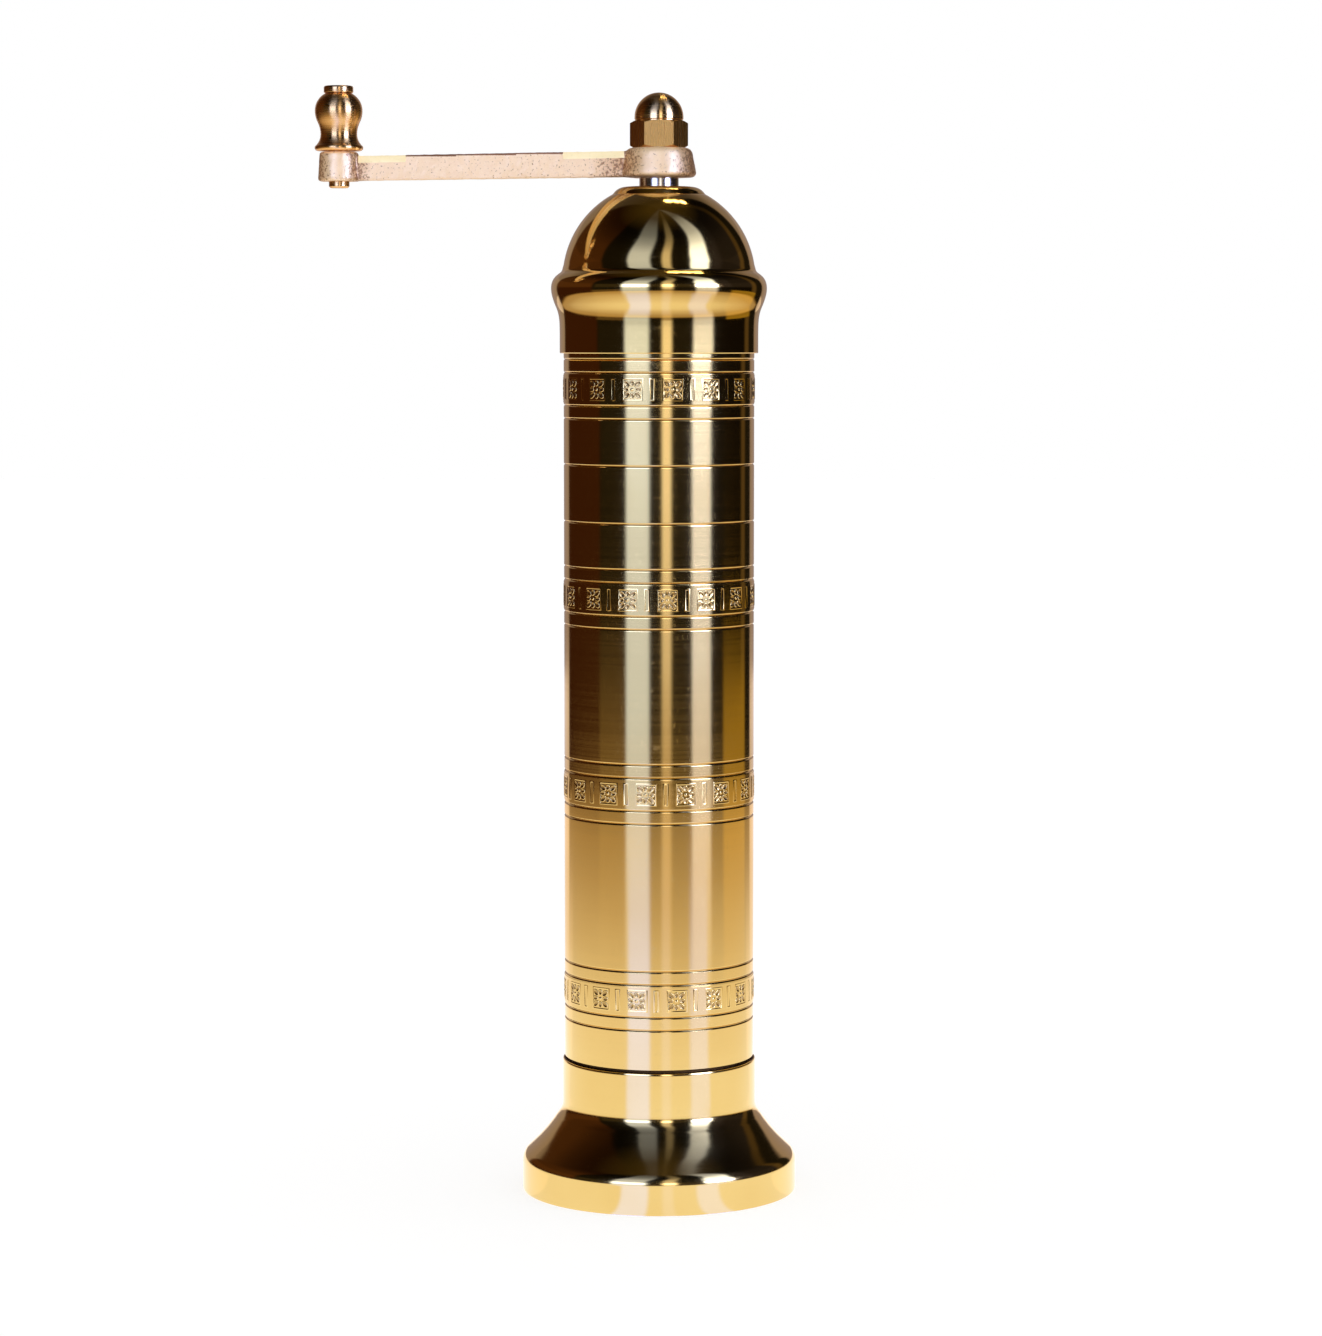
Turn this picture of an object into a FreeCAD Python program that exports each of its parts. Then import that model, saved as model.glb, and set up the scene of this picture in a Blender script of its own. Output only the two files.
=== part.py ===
import FreeCAD, Part
import math
import os

# Hand-cranked brass table mill, made piece by piece as the real one is put together.
# Millimetres, Z up. The mill stands on Z = 0, the shaft is on the Z axis and the crank points to -X.

# Foot: a flared casting with a collar, and a spigot that goes up into the tube
foot_radius = 27.6
foot_height = 26.4        # from the table to the top of the collar
foot_edge = 0.4           # chamfer where the rim meets the table
rim_height = 5.4
rim_wall = 2.4
shoulder_radius = 2.0
shoulder_turn = 42.0      # degrees that the shoulder bends inwards before the flare starts
collar_height = 8.8
collar_lip = 0.4          # how far the collar stands out from the tube
collar_edge = 0.3
throat_depth = 17.5       # straight part of the foot's bore, down from the top of the spigot
bell_height = 4.8         # straight part of the hollow above the table
spigot_length = 8.8
spigot_wall = 2.6
seam_gap = 0.8            # dark groove between collar and tube
seam_depth = 0.6

# Body tube with its engraved lines
tube_radius = 19.0
tube_wall = 1.5
tube_length = 148.8
socket_step = 0.5         # how much wider the lower end is bored for the spigot and the plate
low_bands = (13.9, 54.9)  # middle of each lower frieze, up from the tube's lower end
high_bands = (55.6, 14.5)  # middle of each upper frieze, down from the tube's upper end
lone_lines = (40.8, 29.5)  # two single lines, down from the tube's upper end
frieze_width = 6.5        # between the two inner lines of a band
line_gap = 2.6            # from an inner line to the outer line beside it
line_width = 0.5
line_depth = 0.22
belt_rise = 0.08

# Domed lid: its skirt goes over the tube and its inner step rests on the tube's rim
lid_fit = 0.15
skirt_wall = 0.62
skirt_length = 6.85
cove_drop = 0.9           # where the cove under the bead starts, below the tube's rim
bead_proud = 1.68
bead_round = 2.25
bead_height = 6.3         # middle of the bead above the tube's rim
dome_height = 7.3         # middle of the dome's sphere above the tube's rim
dome_wall = 1.4
crown_cut = 0.9           # the flat on top, below the full sphere
crown_radius = 9.2
crown_round = 1.1
crown_thickness = 3.0

# Shaft, with a milled square and a thread at each end
shaft_radius = 3.9
square_flats = 6.2
thread_radius = 3.0
crank_gap = 1.9           # bare shaft between lid and crank
upper_thread_length = 8.4
lower_thread_spare = 2.5  # thread left below the adjusting nut

# Bushes
bush_wall = 1.3
bush_flange = 1.5
bush_flange_thickness = 1.0

# Crank, knob and cap nut
crank_throw = 63.5
crank_fall = 0.8          # how much lower the boss sits than the hub
hub_radius = 7.4
hub_top_radius = 6.7
hub_height = 5.8
hub_round = 0.6
boss_radius = 4.15
boss_top_radius = 3.85
boss_height = 5.8
boss_round = 0.7
arm_thickness_hub = 3.8
arm_thickness_boss = 3.3
arm_height_hub = 5.1
arm_height_boss = 4.8
arm_lift = 0.1            # underside of the arm above the undersides of hub and boss
arm_round = 0.5
bevel_height = 1.4        # stopped bevels along the arm's upper edges
bevel_depth = 0.9
bevel_hub_length = 12.3
bevel_boss_length = 9.5
pin_radius = 2.03
pin_stub = 1.3            # riveted end below the boss
pin_head_radius = 2.92
pin_head_height = 1.45
knob_radius = 4.71
knob_height = 11.25
knob_base_radius = 4.81
knob_base_round = 0.6
knob_waist_radius = 3.62
knob_waist_height = 3.3
knob_bulb_height = 7.9    # height of the widest part
knob_top_radius = 2.75
nut_flats = 10.0
nut_hex_height = 5.3
nut_height = 10.9
nut_dome_radius = 4.85
nut_bevel = 30.0          # degrees, on the corners of the hexagon

# Grinding gear
plate_thickness = 3.0
flange_gap = 0.37         # between the outer burr's flange and the foot's bore
flange_width = 3.5
flange_thickness = 2.2
ring_wall = 1.3           # outer burr at the foot of its bore
ring_height = 9.0
ring_taper = 1.6          # how much narrower its bore is at the top
ring_mouth = 1.0          # bevel at the top of the outer burr
cone_top_wall = 1.65      # inner burr round the shaft, at the top
cone_height = 11.9
cone_above_plate = 2.5
cone_land = 1.0           # straight band at the foot of the cone
grind_gap = 0.5           # between the burrs, at the foot of the cone
coarse_teeth = 8
coarse_depth = 0.9
fine_teeth = 24
fine_depth = 0.45
tooth_slant = 22.0        # degrees
screw_count = 3
screw_radius = 1.1
screw_head_radius = 1.65
screw_head_height = 1.2
screw_slot = 0.5
screw_turn = 30.0         # degrees from +X to the first screw
adjuster_radius = 7.0
adjuster_height = 5.0
adjuster_notches = 24
adjuster_notch_depth = 0.5
burr_raise = 0.3          # how far the inner burr can be screwed up from where it rests
washer_thickness = 0.8
washer_radius = 6.2
spring_wire = 1.2
spring_radius = 5.2       # middle of the wire
spring_turns = 6
spring_length = 17.0      # free space between the washer and the guide
guide_height = 6.0
guide_rim = 1.6
guide_hub_radius = 7.2
spoke_count = 3
spoke_width = 3.0
spoke_height = 4.0
spoke_turn = 90.0         # degrees from +X to the first spoke
collar_radius = 6.6
shaft_collar_height = 5.0
cross_pin_radius = 1.0

# Clearances
fit_gap = 0.03            # between pieces that are fixed together
running_gap = 0.05        # between a piece that turns or slides and its guide
thread_gap = 0.05
knob_gap = 0.2            # under the knob
head_gap = 0.1            # between the knob and the pin's head
spring_gap = 0.1          # above and below the spring

# Places that follow from the sizes above
tube_bottom = foot_height + seam_gap
tube_top = tube_bottom + tube_length
tube_bore = tube_radius - tube_wall
socket_radius = tube_bore + socket_step
spigot_top = tube_bottom + spigot_length
plate_top = spigot_top + plate_thickness
ring_bottom = plate_top - ring_height
cone_top = plate_top + cone_above_plate
cone_bottom = cone_top - cone_height
adjuster_bottom = cone_bottom - adjuster_height
shaft_bottom = adjuster_bottom - lower_thread_spare
spring_bottom = cone_top + washer_thickness
guide_bottom = spring_bottom + spring_length
guide_top = guide_bottom + guide_height
collar_bottom = guide_top + running_gap + washer_thickness
collar_top = collar_bottom + shaft_collar_height
dome_middle = tube_top + dome_height
dome_radius = tube_radius
lid_top = dome_middle + dome_radius - crown_cut
hub_bottom = lid_top + crank_gap
hub_top = hub_bottom + hub_height
boss_bottom = (hub_bottom + hub_top - boss_height) / 2 - crank_fall
boss_top = boss_bottom + boss_height
knob_bottom = boss_top + knob_gap
knob_top = knob_bottom + knob_height
shaft_hole = shaft_radius + running_gap
square_hole = square_flats + 2 * running_gap
thread_hole = thread_radius + thread_gap
spigot_radius = socket_radius - fit_gap
throat_radius = spigot_radius - spigot_wall
flange_radius = throat_radius - flange_gap
ring_radius = flange_radius - flange_width
ring_foot_bore = ring_radius - ring_wall
ring_top_bore = ring_foot_bore - ring_taper
cone_radius = ring_foot_bore - grind_gap
cone_top_radius = shaft_hole + cone_top_wall
screw_circle = ring_radius + flange_width / 2
guide_bush_radius = shaft_hole + bush_wall
lid_bush_radius = shaft_hole + bush_wall

V = FreeCAD.Vector
UP = V(0, 0, 1)
ORIGIN = V(0, 0, 0)


def at(r, z):
    return V(r, 0, z)


def turned(start, *steps):
    """A solid turned about Z from an outline of (r, z) points; a pair of points is an arc."""
    edges = []
    here = start
    for step in steps + (start,):
        if isinstance(step[0], tuple):
            through, end = step
            edges.append(Part.Arc(at(*here), at(*through), at(*end)).toShape())
        else:
            end = step
            edges.append(Part.makeLine(at(*here), at(*end)))
        here = end
    return Part.Face(Part.Wire(edges)).revolve(ORIGIN, UP, 360)


def on_circle(middle, radius, degrees):
    """The point of a circle in the outline's plane at an angle from +r towards +z."""
    a = math.radians(degrees)
    return (middle[0] + radius * math.cos(a), middle[1] + radius * math.sin(a))


def angle_from(middle, point):
    return math.degrees(math.atan2(point[1] - middle[1], point[0] - middle[0]))


def arc_between(middle, radius, first, last):
    """An arc step for turned(), from one angle to another about a middle point."""
    return (on_circle(middle, radius, (first + last) / 2), on_circle(middle, radius, last))


def circles_meet(c1, r1, c2, r2):
    """The higher of the two points where two circles of the outline's plane meet."""
    dr, dz = c2[0] - c1[0], c2[1] - c1[1]
    apart = math.hypot(dr, dz)
    along = (apart * apart + r1 * r1 - r2 * r2) / (2 * apart)
    side = math.sqrt(r1 * r1 - along * along)
    foot = (c1[0] + along * dr / apart, c1[1] + along * dz / apart)
    one = (foot[0] - side * dz / apart, foot[1] + side * dr / apart)
    two = (foot[0] + side * dz / apart, foot[1] - side * dr / apart)
    return max(one, two, key=lambda p: p[1])


def sleeve(outer, inner, bottom, top):
    return turned((inner, bottom), (outer, bottom), (outer, top), (inner, top))


def around(shape, count, first=0.0):
    """Copies of a shape spread evenly about Z."""
    out = []
    for i in range(count):
        copy = shape.copy()
        copy.rotate(ORIGIN, UP, first + 360.0 * i / count)
        out.append(copy)
    return out


def square_bar(flats, corner_radius, bottom, top):
    """A bar with four milled flats whose corners keep the round of the bar."""
    size = V(-flats / 2, -flats / 2, bottom)
    block = Part.makeBox(flats, flats, top - bottom, size)
    return block.common(Part.makeCylinder(corner_radius, top - bottom, V(0, 0, bottom)))


def save(name, shape):
    os.makedirs("parts", exist_ok=True)
    shape.exportStep("parts/%s.step" % name)


def base_foot():
    """Flared foot: rim, shoulder, flare, collar, the ring that carries the tube, and the spigot."""
    collar = tube_radius + collar_lip
    flare_top = foot_height - collar_height
    shoulder = (foot_radius - shoulder_radius, rim_height)
    low = on_circle(shoulder, shoulder_radius, shoulder_turn)
    high = (collar, flare_top)
    chord = (high[0] - low[0], high[1] - low[1])
    length = math.hypot(*chord)
    # The flare leaves the shoulder without a kink, so its bow follows from the shoulder's turn.
    bend = math.radians(shoulder_turn + 90) - math.atan2(chord[1], chord[0])
    bow = length / 2 * math.tan(bend / 2)
    flare = (
        (low[0] + high[0]) / 2 - bow * chord[1] / length,
        (low[1] + high[1]) / 2 + bow * chord[0] / length,
    )
    ring = tube_radius - seam_depth
    return turned(
        (foot_radius - rim_wall, 0),
        (foot_radius - foot_edge, 0),
        (foot_radius, foot_edge),
        (foot_radius, rim_height),
        arc_between(shoulder, shoulder_radius, 0, shoulder_turn),
        (flare, high),
        (collar, foot_height - collar_edge),
        (collar - collar_edge, foot_height),
        (ring, foot_height),
        (ring, tube_bottom),
        (spigot_radius, tube_bottom),
        (spigot_radius, spigot_top),
        (throat_radius, spigot_top),
        (throat_radius, spigot_top - throat_depth),
        (foot_radius - rim_wall, bell_height),
    )


def body_tube():
    """Tube, bored wider below for the spigot and plate, with engraved lines and low belts."""
    tube = turned(
        (socket_radius, tube_bottom),
        (tube_radius, tube_bottom),
        (tube_radius, tube_top),
        (tube_bore, tube_top),
        (tube_bore, plate_top),
        (socket_radius, plate_top),
    )
    bands = [tube_bottom + h for h in low_bands] + [tube_top - h for h in high_bands]
    lines = [tube_top - h for h in lone_lines]
    belts = []
    for middle in bands:
        inner = frieze_width / 2
        for offset in (inner, inner + line_gap):
            lines += [middle - offset, middle + offset]
        flat = inner - line_width
        inside = tube_bore + tube_wall / 2
        belts.append(sleeve(tube_radius + belt_rise, inside, middle - flat, middle + flat))
    half = line_width / 2
    grooves = []
    for z in lines:
        grooves.append(
            turned(
                (tube_radius - line_depth, z),
                (tube_radius, z - half),
                (tube_radius + line_depth, z - half),
                (tube_radius + line_depth, z + half),
                (tube_radius, z + half),
            )
        )
    return tube.fuse(belts).cut(grooves).removeSplitter()


def dome_lid():
    """Lid turned in one piece: skirt, cove, bead, dome and flat crown, bored for its bush."""
    inner_skirt = tube_radius + lid_fit
    skirt = inner_skirt + skirt_wall
    bead = (skirt + bead_proud - bead_round, tube_top + bead_height)
    cove_z = tube_top - cove_drop
    # The cove starts upright at the skirt and runs into the bead without a kink.
    a, b = skirt - bead[0], bead[1] - cove_z
    cove_radius = (a * a + b * b - bead_round * bead_round) / (2 * bead_proud)
    cove = (skirt + cove_radius, cove_z)
    meet = angle_from(cove, bead)
    sphere = (0.0, dome_middle)
    inner_dome = dome_radius - dome_wall
    valley = circles_meet(bead, bead_round, sphere, dome_radius)
    crown_side = dome_middle + math.sqrt(dome_radius**2 - crown_radius**2)
    crown_edge = (crown_radius - crown_round, lid_top - crown_round)
    ceiling = lid_top - crown_thickness
    ceiling_radius = math.sqrt(inner_dome**2 - (ceiling - dome_middle) ** 2)
    bush = lid_bush_radius + fit_gap
    return turned(
        (inner_skirt, tube_top - skirt_length),
        (skirt, tube_top - skirt_length),
        (skirt, cove_z),
        arc_between(cove, cove_radius, 180, meet),
        arc_between(bead, bead_round, meet - 180, angle_from(bead, valley)),
        arc_between(
            sphere,
            dome_radius,
            angle_from(sphere, valley),
            angle_from(sphere, (crown_radius, crown_side)),
        ),
        (crown_radius, lid_top - crown_round),
        arc_between(crown_edge, crown_round, 0, 90),
        (bush, lid_top),
        (bush, ceiling),
        (ceiling_radius, ceiling),
        arc_between(sphere, inner_dome, angle_from(sphere, (ceiling_radius, ceiling)), 0),
        (inner_dome, tube_top),
        (inner_skirt, tube_top),
    )


def flanged_bush(radius, bottom, top):
    """Bush pushed in from below, with a flange under the piece that holds it."""
    rim = radius + bush_flange
    under = bottom - bush_flange_thickness
    return turned(
        (shaft_hole, under),
        (rim, under),
        (rim, bottom),
        (radius, bottom),
        (radius, top),
        (shaft_hole, top),
    )


def drive_shaft():
    """Steel shaft: thread and square for the burr below, square and thread for the crank above."""
    square_top = hub_top - 2 * head_gap
    # The lower square ends high enough for the adjusting nut to rise with the burr.
    low, high = cone_bottom + 2 * burr_raise, cone_top + 2 * washer_thickness
    end = hub_top + upper_thread_length
    bar = Part.makeCylinder(shaft_radius, hub_bottom - high, V(0, 0, high))
    pieces = [
        Part.makeCylinder(thread_radius, low - shaft_bottom, V(0, 0, shaft_bottom)),
        square_bar(square_flats, shaft_radius, low, high),
        square_bar(square_flats, shaft_radius, hub_bottom, square_top),
        Part.makeCylinder(thread_radius, end - square_top, V(0, 0, square_top)),
    ]
    return bar.fuse(pieces).cut(cross_pin_hole()).removeSplitter()


def cross_pin_hole():
    middle = (collar_bottom + collar_top) / 2
    reach = 2 * collar_radius
    return Part.makeCylinder(cross_pin_radius + fit_gap, 2 * reach, V(0, -reach, middle), V(0, 1, 0))


def shaft_collar():
    ring = sleeve(collar_radius, shaft_radius + fit_gap, collar_bottom, collar_top)
    return ring.cut(cross_pin_hole())


def collar_pin():
    middle = (collar_bottom + collar_top) / 2
    length = 2 * collar_radius - 2 * head_gap
    return Part.makeCylinder(cross_pin_radius, length, V(0, -length / 2, middle), V(0, 1, 0))


def shaft_guide():
    """Ring pressed in the tube, with spokes that leave room for the grains to fall past a hub."""
    rim = tube_bore - fit_gap
    ring = sleeve(rim, rim - guide_rim, guide_bottom, guide_top)
    hub = Part.makeCylinder(guide_hub_radius, guide_height, V(0, 0, guide_bottom))
    corner = V(0, -spoke_width / 2, guide_bottom)
    spoke = Part.makeBox(rim - guide_rim / 2, spoke_width, spoke_height, corner)
    below = V(0, 0, guide_bottom - guide_height)
    bore = Part.makeCylinder(guide_bush_radius + fit_gap, 3 * guide_height, below)
    return ring.fuse([hub] + around(spoke, spoke_count, spoke_turn)).cut(bore).removeSplitter()


def tooth_cutter(depth, radius_low, radius_high, bottom, top, outwards):
    """A slanted V-shaped cutter along a cone, cutting inwards or outwards from its surface."""
    length = math.hypot(top - bottom, radius_high - radius_low)
    run = 2 * length
    side = 1 if outwards else -1
    over = 2 * depth
    width = 1.1 * (depth + over)
    points = [V(side * depth, 0, 0), V(-side * over, -width, 0), V(-side * over, width, 0)]
    wedge = Part.Face(Part.makePolygon(points + points[:1])).extrude(V(0, 0, run))
    wedge.translate(V(0, 0, -run / 2))
    wedge.rotate(ORIGIN, V(1, 0, 0), tooth_slant)
    tilt = math.degrees(math.atan2(radius_high - radius_low, top - bottom))
    wedge.rotate(ORIGIN, V(0, 1, 0), tilt)
    wedge.translate(V((radius_low + radius_high) / 2, 0, (bottom + top) / 2))
    return wedge


def inner_burr():
    """Toothed cone on the shaft's lower square: deep teeth to crack, fine teeth below to grind."""
    land_top = cone_bottom + cone_land
    hole = square_bar(square_hole, shaft_hole, cone_bottom - 1, cone_top + 1)
    cone = turned(
        (0, cone_bottom),
        (cone_radius, cone_bottom),
        (cone_radius, land_top),
        (cone_top_radius, cone_top),
        (0, cone_top),
    )
    half = (cone_radius + cone_top_radius) / 2
    middle = (land_top + cone_top) / 2
    start = land_top + cone_land
    coarse = tooth_cutter(coarse_depth, cone_radius, cone_top_radius, start, cone_top, False)
    coarse.translate(V(0, 0, cone_land))
    fine = tooth_cutter(fine_depth, cone_radius, half, cone_bottom, middle, False)
    below = Part.makeCylinder(2 * cone_radius, 2 * middle, V(0, 0, middle - 2 * middle))
    teeth = around(coarse, coarse_teeth) + [t.common(below) for t in around(fine, fine_teeth)]
    return cone.cut(teeth).cut(hole).removeSplitter()


def outer_burr():
    """Toothed ring with a flange that is screwed up against the plate."""
    body = turned(
        (ring_foot_bore, ring_bottom),
        (ring_radius, ring_bottom),
        (ring_radius, spigot_top - flange_thickness),
        (flange_radius, spigot_top - flange_thickness),
        (flange_radius, spigot_top),
        (ring_radius, spigot_top),
        (ring_radius, plate_top),
        (ring_top_bore + ring_mouth, plate_top),
        (ring_top_bore, plate_top - ring_mouth),
    )
    cutter = tooth_cutter(fine_depth, ring_foot_bore, ring_top_bore, ring_bottom, plate_top, True)
    return body.cut(around(cutter, fine_teeth)).cut(screw_holes())


def screw_holes():
    hole = Part.makeCylinder(screw_radius + fit_gap, 2 * plate_top, V(screw_circle, 0, 0))
    return around(hole, screw_count, screw_turn)


def burr_plate():
    """Plate clamped between the foot's spigot and the step in the tube, bored for the outer burr."""
    bore = ring_radius + fit_gap
    return sleeve(socket_radius - fit_gap, bore, spigot_top, plate_top).cut(screw_holes())


def burr_screws():
    """Slotted screws, driven from below through the outer burr's flange into the plate."""
    under = spigot_top - flange_thickness
    bottom = under - screw_head_height
    head = Part.makeCylinder(screw_head_radius, screw_head_height, V(screw_circle, 0, bottom))
    shank = Part.makeCylinder(screw_radius, plate_top - under - head_gap, V(screw_circle, 0, under))
    corner = V(screw_circle - 2 * screw_head_radius, -screw_slot / 2, bottom)
    slot = Part.makeBox(4 * screw_head_radius, screw_slot, screw_head_height / 2, corner)
    screw = head.fuse(shank).cut(slot).removeSplitter()
    return Part.Compound(around(screw, screw_count, screw_turn))


def adjusting_nut():
    """Thumb nut on the shaft's lower thread; turning it up brings the burrs closer together."""
    nut = sleeve(adjuster_radius, thread_hole, adjuster_bottom, cone_bottom)
    size = adjuster_notch_depth * math.sqrt(2)
    notch = Part.makeBox(size, size, 2 * adjuster_height, V(-size / 2, -size / 2, 0))
    notch.rotate(ORIGIN, UP, 45)
    notch.translate(V(adjuster_radius, 0, adjuster_bottom - adjuster_height / 2))
    return nut.cut(around(notch, adjuster_notches))


def helix_point(turn, bottom, pitch):
    a = 2 * math.pi * turn
    return V(spring_radius * math.cos(a), spring_radius * math.sin(a), bottom + pitch * turn)


def helix_direction(turn, pitch):
    a = 2 * math.pi * turn
    way = V(-spring_radius * math.sin(a), spring_radius * math.cos(a), pitch / (2 * math.pi))
    return way.normalize()


def arc_from_corner(start, corner, end):
    """The arc that touches both sides of a corner at its two equally distant ends."""
    middle = (start + end) * 0.5
    lean = (end - start).getAngle(corner - start)
    bow = (end - start).Length / 2 * math.tan(lean / 2)
    out = (corner - middle).normalize()
    return Part.Arc(start, middle + out * bow, end).toShape()


def burr_spring():
    """Round wire wound on pairs of arcs, a quarter turn to each pair."""
    bottom = spring_bottom + spring_gap + spring_wire / 2
    rise = spring_length - 2 * spring_gap - spring_wire
    pitch = rise / spring_turns
    edges = []
    for i in range(4 * spring_turns):
        t0, t1 = i / 4, (i + 1) / 4
        p0, p1 = helix_point(t0, bottom, pitch), helix_point(t1, bottom, pitch)
        d0, d1 = helix_direction(t0, pitch), helix_direction(t1, pitch)
        # Both arcs get equally long sides, so the reach to their corners solves a quadratic.
        gap, both = p1 - p0, d0 + d1
        qa, qb, qc = 2 * (d0.dot(d1) - 1), -2 * gap.dot(both), gap.dot(gap)
        reach = (-qb - math.sqrt(qb * qb - 4 * qa * qc)) / (2 * qa)
        c0, c1 = p0 + d0 * reach, p1 - d1 * reach
        joint = (c0 + c1) * 0.5
        edges += [arc_from_corner(p0, c0, joint), arc_from_corner(joint, c1, p1)]
    path = Part.Wire(edges)
    start, way = helix_point(0, bottom, pitch), helix_direction(0, pitch)
    section = Part.Wire(Part.makeCircle(spring_wire / 2, start, way))
    points = path.discretize(Number=24 * spring_turns + 1)
    least = min(
        (points[i] - points[j]).Length
        for i in range(len(points))
        for j in range(i + 12, len(points))
    )
    print("burr_spring: least gap to itself %.2f mm" % (least - spring_wire))
    return path.makePipeShell([section], True, False)


def crank_arm():
    """Cast crank: tapered hub and boss, a falling arm, and stopped bevels on its upper edges."""
    hub = turned(
        (0, hub_bottom),
        (hub_radius, hub_bottom),
        (hub_top_radius, hub_top),
        (0, hub_top),
    )
    hub = hub.makeFillet(hub_round, [e for e in hub.Edges if e.Length > hub_top_radius * 6])
    boss = turned(
        (0, boss_bottom),
        (boss_radius, boss_bottom),
        (boss_top_radius, boss_top),
        (0, boss_top),
    )
    boss = boss.makeFillet(boss_round, [e for e in boss.Edges if e.Length > boss_top_radius * 6])
    boss.translate(V(-crank_throw, 0, 0))

    def section(x, thickness, bottom, height):
        half = thickness / 2
        top = bottom + height
        corners = [V(x, -half, bottom), V(x, half, bottom), V(x, half, top), V(x, -half, top)]
        return Part.makePolygon(corners + corners[:1])

    near, far = -shaft_radius, -crank_throw
    arm = Part.makeLoft(
        [
            section(near, arm_thickness_hub, hub_bottom + arm_lift, arm_height_hub),
            section(far, arm_thickness_boss, boss_bottom + arm_lift, arm_height_boss),
        ],
        True,
        True,
    )
    arm = arm.makeFillet(arm_round, [e for e in arm.Edges if e.Length > crank_throw / 2])

    def bevels(x0, x1):
        """Cutters for both upper edges of the arm between two places along it."""
        ends = []
        for x in (x0, x1):
            share = (x - near) / (far - near)
            half = (arm_thickness_hub + share * (arm_thickness_boss - arm_thickness_hub)) / 2
            low = hub_bottom + share * (boss_bottom - hub_bottom) + arm_lift
            top = low + arm_height_hub + share * (arm_height_boss - arm_height_hub)
            ends.append((x, half, top))
        cutters = []
        for side in (-1, 1):
            wires = []
            for x, half, top in ends:
                corners = [
                    V(x, side * half, top - bevel_height),
                    V(x, side * (half - bevel_depth), top),
                    V(x, side * half, top + bevel_height),
                    V(x, side * (half + bevel_depth), top),
                ]
                wires.append(Part.makePolygon(corners + corners[:1]))
            cutters.append(Part.makeLoft(wires, True, True))
        return cutters

    hub_edge, boss_edge = -hub_top_radius, -crank_throw + boss_top_radius
    arm = arm.cut(bevels(hub_edge, hub_edge - bevel_hub_length))
    arm = arm.cut(bevels(boss_edge, boss_edge + bevel_boss_length))
    hole = square_bar(square_hole, shaft_hole, hub_bottom - 1, hub_top + 1)
    below = V(-crank_throw, 0, boss_bottom - boss_height)
    pin_hole = Part.makeCylinder(pin_radius + fit_gap, 3 * boss_height, below)
    return hub.fuse([arm, boss]).cut([hole, pin_hole]).removeSplitter()


def knob_pin():
    """Rivet through boss and knob: flat head on top, riveted stub below."""
    head = knob_top + head_gap
    end = boss_bottom - pin_stub
    edge = 2 * head_gap
    pin = turned(
        (0, end),
        (pin_radius - edge, end),
        (pin_radius, end + edge),
        (pin_radius, head),
        (pin_head_radius, head),
        (pin_head_radius, head + pin_head_height - edge),
        (pin_head_radius - edge, head + pin_head_height),
        (0, head + pin_head_height),
    )
    pin.translate(V(-crank_throw, 0, 0))
    return pin


def knob():
    """Turned knob: rounded base, hollow waist and a full bulb, free to spin on its pin."""
    bore = pin_radius + running_gap
    base = (knob_base_radius - knob_base_round, knob_bottom + knob_base_round)
    waist = (knob_waist_radius, knob_bottom + knob_waist_height)
    bulb = (knob_radius, knob_bottom + knob_bulb_height)
    top = (knob_top_radius, knob_top)
    # The base's round meets the waist's hollow; waist and bulb share two equal arcs.
    leave = on_circle(base, knob_base_round, 60)
    drop, width = waist[1] - leave[1], leave[0] - waist[0]
    hollow_radius = (drop * drop + width * width) / (2 * width)
    hollow = (waist[0] + hollow_radius, waist[1])
    rise, swell = bulb[1] - waist[1], bulb[0] - waist[0]
    sway = (rise * rise + swell * swell) / (4 * swell)
    middle = ((waist[0] + bulb[0]) / 2, (waist[1] + bulb[1]) / 2)
    low, high = (waist[0] + sway, waist[1]), (bulb[0] - sway, bulb[1])
    rise, shrink = top[1] - bulb[1], bulb[0] - top[0]
    crown_bend = (rise * rise + shrink * shrink) / (2 * shrink)
    crown = (bulb[0] - crown_bend, bulb[1])
    shape = turned(
        (bore, knob_bottom),
        (base[0], knob_bottom),
        arc_between(base, knob_base_round, -90, 60),
        arc_between(hollow, hollow_radius, angle_from(hollow, leave) % 360, 180),
        arc_between(low, sway, 180, angle_from(low, middle) % 360),
        arc_between(high, sway, angle_from(high, middle), 0),
        arc_between(crown, crown_bend, 0, angle_from(crown, top)),
        (bore, knob_top),
    )
    shape.translate(V(-crank_throw, 0, 0))
    return shape


def cap_nut():
    """Domed nut: hexagon with bevelled corners, short neck and round cap over a blind thread."""
    corner = nut_flats / math.sqrt(3)
    points = []
    for i in range(7):
        a = math.radians(60 * i)
        points.append(V(corner * math.cos(a), corner * math.sin(a), hub_top))
    hexagon = Part.Face(Part.makePolygon(points)).extrude(V(0, 0, nut_hex_height))
    hex_top = hub_top + nut_hex_height
    flat = nut_flats / 2
    fall = (corner - flat) * math.tan(math.radians(nut_bevel))
    turned_corners = turned(
        (0, hub_top),
        (flat, hub_top),
        (corner, hub_top + fall),
        (corner, hex_top - fall),
        (flat, hex_top),
        (0, hex_top),
    )
    middle = (0.0, hub_top + nut_height - nut_dome_radius)
    cap = turned(
        (0, hex_top - fall),
        (nut_dome_radius, hex_top - fall),
        (nut_dome_radius, middle[1]),
        arc_between(middle, nut_dome_radius, 0, 90),
    )
    depth = upper_thread_length + 2 * head_gap
    blind = Part.makeCylinder(thread_hole, depth, V(0, 0, hub_top))
    return hexagon.common(turned_corners).fuse(cap).cut(blind).removeSplitter()


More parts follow.
